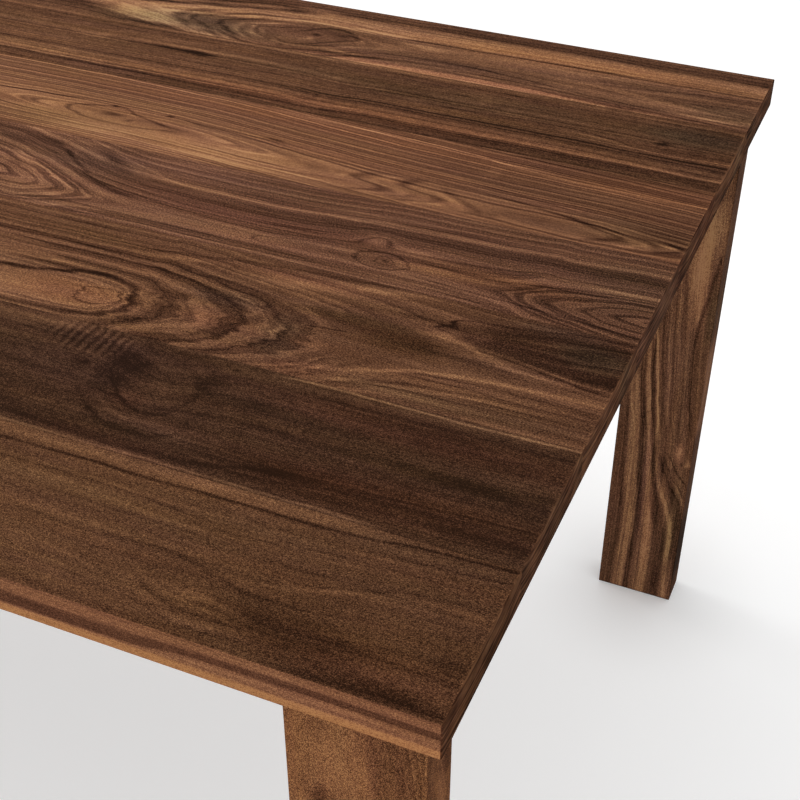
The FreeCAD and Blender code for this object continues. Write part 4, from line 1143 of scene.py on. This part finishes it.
# Figure of the legs: along is the height, across the distance from the leg's left side.
LEG_FIGURES = {
    "leg_front_left": {
        "seed": 81.0,
        "centre": [(0, -30), (300, -24), (762, -44)],
        "depth": [(0, 4), (762, 8)],
        "bands": [
            (20, 0.36), (34, 0.5), (44, 0.3), (56, 0.52), (66, 0.36), (78, 0.5), (86, 0.28), (98, 0.46),
            (112, 0.32), (126, 0.46), (140, 0.34),
        ],
        "rings": 0.12,
    },
    "leg_front_right": {
        "seed": 86.0,
        "sharp": 2.0,
        "centre": [(0, 44), (300, 40), (560, 30), (762, 24)],
        "depth": [(0, 20), (200, 44), (420, 12), (560, 6), (640, 22), (700, 34), (762, 44)],
        "bands": [
            (0, 0.52), (30, 0.5), (36, 0.48), (40, 0.51), (45, 0.48), (50, 0.46), (55, 0.41), (60, 0.37),
            (70, 0.36), (76, 0.38), (82, 0.35), (90, 0.37), (98, 0.33), (110, 0.4),
        ],
        "rings": 0.03,
        "fine": 0.03,
        "ragged": 4.0,
        "mottle": 0.05,
        "clouds": 0.04,
        "fibres": 0.05,
        "grit": 0.78,
        "cell": 0.8,
        # Painted light: the tone of this leg is lifted to stand in for more light on its upright faces.
        "lift": 0.135,
        # painted shade on the leg's narrow right side, which is lit less
        "flank_painted_shade": -0.28,
        "patches": [
            (630, 26, 26, 16, 0, -0.3), (664, 36, 50, 30, 0, 0.05), (690, 78, 70, 22, 0, -0.06),
            (700, 24, 24, 14, 0, -0.05),
        ],
        "strokes": [
            ([(560, 101), (820, 101)], 1.6, 0.3), ([(600, 99), (670, 97), (720, 92), (820, 90)], 2.4, -0.12),
            ([(600, 74), (680, 66), (720, 60), (820, 54)], 8, -0.1),
        ],
        "cast": (1.08, 0.975, 0.87),
    },
    "leg_rear_left": {
        "seed": 91.0,
        "centre": [(0, 120), (400, 132), (762, 124)],
        "depth": [(0, 10), (380, 30), (762, 6)],
        "bands": [
            (10, 0.46), (24, 0.34), (36, 0.5), (48, 0.3), (60, 0.46), (72, 0.32), (88, 0.52), (100, 0.34),
            (114, 0.44), (130, 0.3),
        ],
        "rings": 0.12,
    },
    "leg_rear_right": {
        "seed": 96.0,
        "centre": [(0, 152), (250, 152), (330, 142), (500, 132), (762, 120)],
        "depth": [(0, 0), (762, 0)],
        "bands": [
            (20, 0.4), (34, 0.36), (44, 0.42), (56, 0.34), (64, 0.4), (72, 0.35), (78, 0.42), (86, 0.33),
            (94, 0.4), (104, 0.36), (116, 0.34), (126, 0.36), (138, 0.32), (144, 0.24), (152, 0.28),
        ],
        "rings": 0.06,
        "wander": 1.0,
        "ragged": 6.0,
        "fibres": 0.08,
        "grit": 0.43,
        "cell": 1.5,
        "gain": 1.1,
        # Painted light: the tone of this leg is lifted to stand in for more light on its upright faces.
        "lift": 0.175,
        # painted shade on the leg's narrow right side, which is lit less
        "flank_painted_shade": -0.27,
        "patches": [
            (262, 84, 24, 7, 0, 0.4), (246, 97, 10, 6, 0, 0.3), (242, 90, 5, 2, 0, -0.3),
            (268, 76, 22, 3, 0, -0.12), (545, 77, 120, 15, 0, 0.34), (556, 98, 12, 2.2, 0, -0.5),
            (30, 92, 36, 6, 0, 0.16), (90, 80, 50, 6, 0, -0.1), (480, 82, 40, 5, 0, 0.24),
            (40, 76, 40, 8, 0, -0.1), (642, 89, 14, 4, 0, -0.3), (60, 101, 50, 3, 0, -0.3),
            (600, 90, 70, 16, 0, 0.3), (530, 78, 60, 12, 0, 0.1), (560, 74, 130, 30, 0, 0.1),
            (12, 93, 28, 6, 0, 0.28), (36, 78, 44, 8, 0, -0.1), (420, 74, 90, 14, 0, 0.08),
        ],
        "strokes": [
            ([(-50, 26), (50, 27.5), (100, 29.5), (150, 30), (200, 25.5), (250, 23), (300, 21),
              (350, 16.5), (400, 14)], 10, 0.24),
            ([(-50, 23), (60, 25), (120, 29)], 1.4, -0.22),
            ([(110, 27), (160, 28), (220, 26), (300, 23)], 1.4, -0.1),
            ([(-50, 14), (60, 14), (100, 17), (200, 14), (300, 11), (350, 8)], 3, -0.16),
            ([(-50, 36), (50, 38), (100, 42), (150, 43), (200, 37.5), (250, 33.5), (300, 31.5),
              (350, 24.5), (400, 21)], 5, -0.2),
            ([(-50, 56), (50, 58), (100, 58), (140, 55), (170, 52.5)], 9, 0.26),
            ([(120, 56), (150, 54), (200, 50), (250, 45), (300, 40.5), (350, 34), (400, 29), (450, 25)
              ], 4.6, 0.24),
            ([(-50, 76), (50, 77), (100, 76), (150, 68), (190, 60)], 11, -0.2),
            ([(150, 68), (200, 58.5), (250, 50.5), (275, 47), (300, 45), (350, 40), (400, 34), (440, 30)
              ], 4, -0.24),
            ([(258, 52.5), (300, 51.5), (350, 46.5), (400, 40), (440, 35), (480, 30)], 2.2, 0.34),
            ([(50, 89), (80, 89), (100, 89), (125, 87.5), (150, 83), (175, 73), (200, 65), (225, 60),
              (250, 55)], 4, 0.24),
            ([(60, 99), (110, 98), (150, 95), (180, 86), (210, 76), (240, 66), (262, 60)], 8, -0.22),
            ([(205, 101), (213, 97), (222, 90), (238, 79), (260, 68)], 2, -0.26),
            ([(180, 101), (200, 92), (216, 82), (234, 72), (256, 63)], 2, -0.22),
            ([(160, 101), (186, 90), (204, 78), (226, 68), (252, 60)], 2.4, -0.22),
            ([(170, 101), (190, 95), (208, 86), (224, 78)], 2.6, 0.16),
            ([(270, 97), (310, 93), (350, 87), (400, 83), (430, 82.5), (460, 84), (490, 89), (520, 93),
              (550, 97), (570, 99)], 3, -0.2),
            ([(290, 100), (350, 95), (400, 91), (460, 94), (520, 100), (560, 104)], 8, -0.05),
            ([(270, 102), (320, 101.5), (450, 101.5)], 1.4, 0.24),
            ([(290, 63), (350, 60), (400, 55), (450, 50), (520, 46)], 1.8, 0.16),
            ([(280, 58), (350, 53), (400, 47), (450, 42), (520, 38)], 2.4, -0.16),
            ([(280, 69), (350, 65), (400, 60), (450, 56), (520, 52)], 1.8, -0.14),
            ([(280, 75), (350, 71), (400, 67), (450, 62), (520, 58)], 2.6, 0.14),
            ([(275, 80), (350, 77), (400, 73), (450, 69), (520, 64)], 2, -0.14),
        ],
        "flat_strokes": 0.4,
        "dark_red": -0.045,
        "tints": [
            (120, 58, 110, 10, 0, 0.03, 0.04), (520, 78, 120, 20, 0, 0.03, 0.02),
            (140, 90, 120, 16, 0, -0.05, 0.04), (200, 44, 160, 8, 0, 0.02, -0.1),
            (380, 60, 120, 16, 0, 0.0, -0.07), (262, 84, 30, 10, 0, 0.04, 0.0),
            (480, 97, 60, 9, 0, -0.06, 0.0),
        ],
        "cast": (1.0, 1.01, 1.05),
    },
}
RAIL_FIGURE = {
    "seed": 101.0,
    "centre": [(0, -60)],
    "depth": [(0, 10)],
    "bands": [
        (0, 0.4), (20, 0.5), (32, 0.34), (48, 0.5), (60, 0.34), (80, 0.48), (100, 0.34), (130, 0.46),
        (160, 0.36),
    ],
    "rings": 0.12,
}

# Distances, in mm, over which the sawn ends and the worn rim fade into the face
BOARD_END_CUT = (1.2, 0.4)
LEG_END_CUT = (3.0, 1.6)
WORN_RIM = (3.0, 0.6)
RAIL_DATUM = 600  # height that the figure of the rails is measured from


class DINING_OT_top_boards(Operator):
    """Finishes the seven boards of the top, each with its own figure."""

    bl_idname = "dining.top_boards"
    bl_label = "Finish the top boards"

    def execute(self, context):
        colours = context.scene.table_walnut
        for name, figure in BOARD_FIGURES.items():
            finish = Walnut(name, colours, figure)
            x, y, z = finish.place()
            below = TOP_HEIGHT - z
            to_end = TOP_RIGHT - abs(x)
            end_cut = finish.step(to_end, *BOARD_END_CUT)
            rim = finish.length(to_end, below)
            if name in ("top_board_1", "top_board_7"):
                rim = rim.least(finish.length(TOP_WIDTH / 2 - abs(y), below))
            worn = finish.step(rim, *WORN_RIM)
            set_finish(name, finish.wood(x - TOP_RIGHT, y - TOP_FRONT, below, end_cut, worn))
        return {"FINISHED"}


class DINING_OT_legs(Operator):
    """Finishes the four legs, with the grain upright."""

    bl_idname = "dining.legs"
    bl_label = "Finish the legs"

    def execute(self, context):
        colours = context.scene.table_walnut
        for name, figure in LEG_FIGURES.items():
            low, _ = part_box(name)
            finish = Walnut(name, colours, figure)
            x, y, z = finish.place()
            end_cut = finish.step(z, *LEG_END_CUT)
            set_finish(name, finish.wood(z, x - low.x * MM, y - low.y * MM, end_cut))
        return {"FINISHED"}


class DINING_OT_frame(Operator):
    """Finishes the rails and the corner blocks under the top."""

    bl_idname = "dining.frame"
    bl_label = "Finish the frame"

    def execute(self, context):
        colours = context.scene.table_walnut
        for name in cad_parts:
            if "rail" not in name and "corner_block" not in name:
                continue
            seed = RAIL_FIGURE["seed"] + 3.3 * len(name) + 0.17 * ord(name[-1])
            finish = Walnut(name, colours, {**RAIL_FIGURE, "seed": seed})
            x, y, z = finish.place()
            along, across = (x, y) if name.startswith("long") else (y, x)
            set_finish(name, finish.wood(along, z - RAIL_DATUM, across))
        return {"FINISHED"}


def set_finish(name, material):
    """Gives a CAD piece its finish."""
    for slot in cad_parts[name].material_slots:
        slot.material = material


# ---------------------------------------------------------------------------------------------------------
# Fittings
# ---------------------------------------------------------------------------------------------------------


def zinc_plate(colours):
    """Bright zinc plate, a little clouded."""
    finish = Finish(bpy.data.materials.new("zinc_plate"))
    spot = finish.join(*finish.place())
    blooms = finish.cloud(spot, (7, 7, 7), 2.0, 3.0)
    grain = finish.cloud(spot, (1.2, 1.2, 1.2), 9.0, 2.0)
    colour = finish.mix(finish.step(blooms, -1, 1), shaded(colours.zinc, 0.72), tuple(colours.zinc))
    roughness = 0.34 + blooms * 0.06 + grain * 0.04
    return finish.close(colour, roughness, grain, 0.00003, Metallic=1.0)


def black_oxide(colours):
    """Black oxide with an oily sheen, lighter in blooms."""
    finish = Finish(bpy.data.materials.new("black_oxide"))
    spot = finish.join(*finish.place())
    blooms = finish.cloud(spot, (4, 4, 4), 5.0, 3.0)
    grain = finish.cloud(spot, (0.6, 0.6, 0.6), 1.0, 2.0)
    colour = finish.mix(finish.step(blooms, 0.1, 1.2), tuple(colours.oxide), shaded(colours.oxide, 2.2))
    return finish.close(colour, 0.42 + blooms * 0.08, grain, 0.00003, Metallic=0.75)


def machined_brass(colours):
    """Brass from the lathe."""
    finish = Finish(bpy.data.materials.new("machined_brass"))
    spot = finish.join(*finish.place())
    turned = finish.cloud(spot, (6, 0.35, 6), 3.0, 2.0)
    blooms = finish.cloud(spot, (5, 5, 5), 8.0, 2.0)
    colour = finish.mix(finish.step(blooms, -1, 1), shaded(colours.brass, 0.7), tuple(colours.brass))
    return finish.close(colour, 0.3 + turned * 0.06, turned, 0.00003, Metallic=1.0)


def brown_nylon(colours):
    """Moulded nylon, scuffed where it meets the floor."""
    finish = Finish(bpy.data.materials.new("brown_nylon"))
    x, y, z = finish.place()
    spot = finish.join(x, y, z)
    blooms = finish.cloud(spot, (3, 3, 3), 4.0, 3.0)
    scratches = finish.cloud(spot, (9, 0.4, 4), 6.0, 2.0)
    scuffed = finish.step(z, 0.9, 0.1) * finish.step(scratches, 0.1, 0.7)
    clean = finish.mix(finish.step(blooms, -1, 1), tuple(colours.nylon), shaded(colours.nylon, 0.86))
    colour = finish.mix(scuffed * 0.7, clean, shaded(colours.nylon, 1.5, 0.02))
    roughness = 0.48 + blooms * 0.05 + scuffed * 0.2
    return finish.close(colour, roughness, blooms + scratches * 0.4, 0.00005)


def shaded(colour, share, lift=0.0):
    """A colour made darker or lighter."""
    return tuple(part * share + lift for part in colour)


class DINING_OT_fittings(Operator):
    """Finishes the bolts, washers, inserts, clips, screws, glides and nails."""

    bl_idname = "dining.fittings"
    bl_label = "Finish the fittings"

    def execute(self, context):
        colours = context.scene.table_fittings
        zinc = zinc_plate(colours)
        set_finish("leg_bolts", black_oxide(colours))
        set_finish("leg_inserts", machined_brass(colours))
        set_finish("foot_glides", brown_nylon(colours))
        for name in ("leg_washers", "top_clips", "clip_screws", "corner_screws", "glide_nails"):
            set_finish(name, zinc)
        return {"FINISHED"}


# ---------------------------------------------------------------------------------------------------------
# Stage
# ---------------------------------------------------------------------------------------------------------

WHITE = (1.0, 1.0, 1.0, 1.0)
FLOOR_SIZE = 60.0
FOOT = (860, 458)  # middle of a foot, in mm, along and across the table
FOOT_SHADOW = (30, 200)  # how far round a foot a painted shadow, which dims the floor's glow, goes from its least glow to its full glow
LEAST_GLOW = 0.65


def floor_finish(stage):
    """Pale floor that the camera sees a little brighter than it is lit, with the table's shadow kept and a
    painted shadow round each foot.
    """
    finish = Finish(bpy.data.materials.new("floor_paint"))
    lit = finish.put("ShaderNodeBsdfDiffuse", values={"Color": (*stage.floor_colour, 1.0)})
    glow = finish.put("ShaderNodeEmission", values={"Color": WHITE, "Strength": stage.floor_glow})
    seen = finish.put("ShaderNodeAddShader", values={0: lit, 1: glow})
    camera_ray = finish.put("ShaderNodeLightPath", out="Is Camera Ray")
    x, y, _ = finish.place()
    # Painted shadow: the glow the camera sees is dimmed round each foot.
    from_foot = finish.length(abs(x) - FOOT[0], abs(y) - FOOT[1])
    share = camera_ray * finish.step(from_foot, *FOOT_SHADOW, LEAST_GLOW, 1.0)
    surface = finish.put("ShaderNodeMixShader", values={0: share, 1: lit, 2: seen})
    finish.put("ShaderNodeOutputMaterial", values={0: surface}, out="all")
    return finish.owner


def light_the_room(stage):
    """Even light from all round, white behind the table."""
    room = Finish(bpy.data.worlds.new("soft_room"))
    bpy.context.scene.world = room.owner
    camera_ray = room.put("ShaderNodeLightPath", out="Is Camera Ray")
    light = room.put("ShaderNodeBackground", values={"Color": WHITE, "Strength": stage.sky})
    white = room.put("ShaderNodeBackground", values={"Color": WHITE, "Strength": 1.0})
    surface = room.put("ShaderNodeMixShader", values={0: camera_ray, 1: light, 2: white})
    room.put("ShaderNodeOutputWorld", values={0: surface}, out="all")


def add_lamp(name, place, aim, size, power):
    """A large soft lamp that points at a spot."""
    bpy.ops.object.light_add(type="AREA", location=place)
    lamp = bpy.context.object
    lamp.name = name
    lamp.rotation_euler = (lamp.location - Vector(aim)).to_track_quat("Z", "Y").to_euler()
    lamp.data.shape = "SQUARE"
    lamp.data.size = size
    lamp.data.energy = power


class DINING_OT_stage(Operator):
    """Sets the floor, the light and the camera."""

    bl_idname = "dining.stage"
    bl_label = "Set the stage"

    def execute(self, context):
        stage = context.scene.table_stage
        bpy.ops.object.select_all(action="DESELECT")
        bpy.ops.mesh.primitive_plane_add(size=FLOOR_SIZE, location=(0.0, 0.0, 0.0))
        floor = context.object
        floor.name = "floor"
        floor.data.materials.append(floor_finish(stage))
        light_the_room(stage)
        add_lamp("lamp_over", place=(-1.1, 0.3, 2.4), aim=(-0.3, 0.0, 0.7), size=1.6, power=stage.lamp)
        add_lamp("lamp_front", place=(0.2, -3.6, 1.7), aim=(0.0, 0.0, 0.5), size=2.2, power=stage.fill)
        bpy.ops.object.camera_add(location=stage.camera_place, rotation=stage.camera_turn)
        camera = context.object
        camera.name = "camera"
        camera.data.lens = stage.lens
        camera.data.sensor_width = 36.0
        camera.data.sensor_fit = "HORIZONTAL"
        camera.data.clip_start = 0.05
        camera.data.clip_end = 200.0
        context.scene.camera = camera
        context.scene.view_settings.view_transform = "Standard"
        bpy.ops.object.select_all(action="DESELECT")
        return {"FINISHED"}


# ---------------------------------------------------------------------------------------------------------
# Panel and registration
# ---------------------------------------------------------------------------------------------------------

OPERATORS = (
    DINING_OT_top_boards,
    DINING_OT_legs,
    DINING_OT_frame,
    DINING_OT_fittings,
    DINING_OT_stage,
)
SETTINGS = {"table_walnut": WalnutColours, "table_fittings": FittingColours, "table_stage": StageSettings}


class DINING_PT_table(Panel):
    """Lists the pieces of the table and what a user may change."""

    bl_label = "Dining table"
    bl_space_type = "VIEW_3D"
    bl_region_type = "UI"
    bl_category = "Table"

    def draw(self, context):
        for operator in OPERATORS:
            self.layout.operator(operator.bl_idname)
        for group in SETTINGS:
            box = self.layout.box()
            settings = getattr(context.scene, group)
            for name in settings.__annotations__:
                box.prop(settings, name)


def register():
    for group, kind in SETTINGS.items():
        register_class(kind)
        setattr(bpy.types.Scene, group, PointerProperty(type=kind))
    for kind in (*OPERATORS, DINING_PT_table):
        register_class(kind)


def unregister():
    for kind in (DINING_PT_table, *reversed(OPERATORS)):
        unregister_class(kind)
    for group, kind in SETTINGS.items():
        delattr(bpy.types.Scene, group)
        unregister_class(kind)


def main():
    register()
    bpy.ops.dining.top_boards()
    bpy.ops.dining.legs()
    bpy.ops.dining.frame()
    bpy.ops.dining.fittings()
    bpy.ops.dining.stage()
    bpy.context.view_layer.update()


if __name__ == "__main__":
    main()
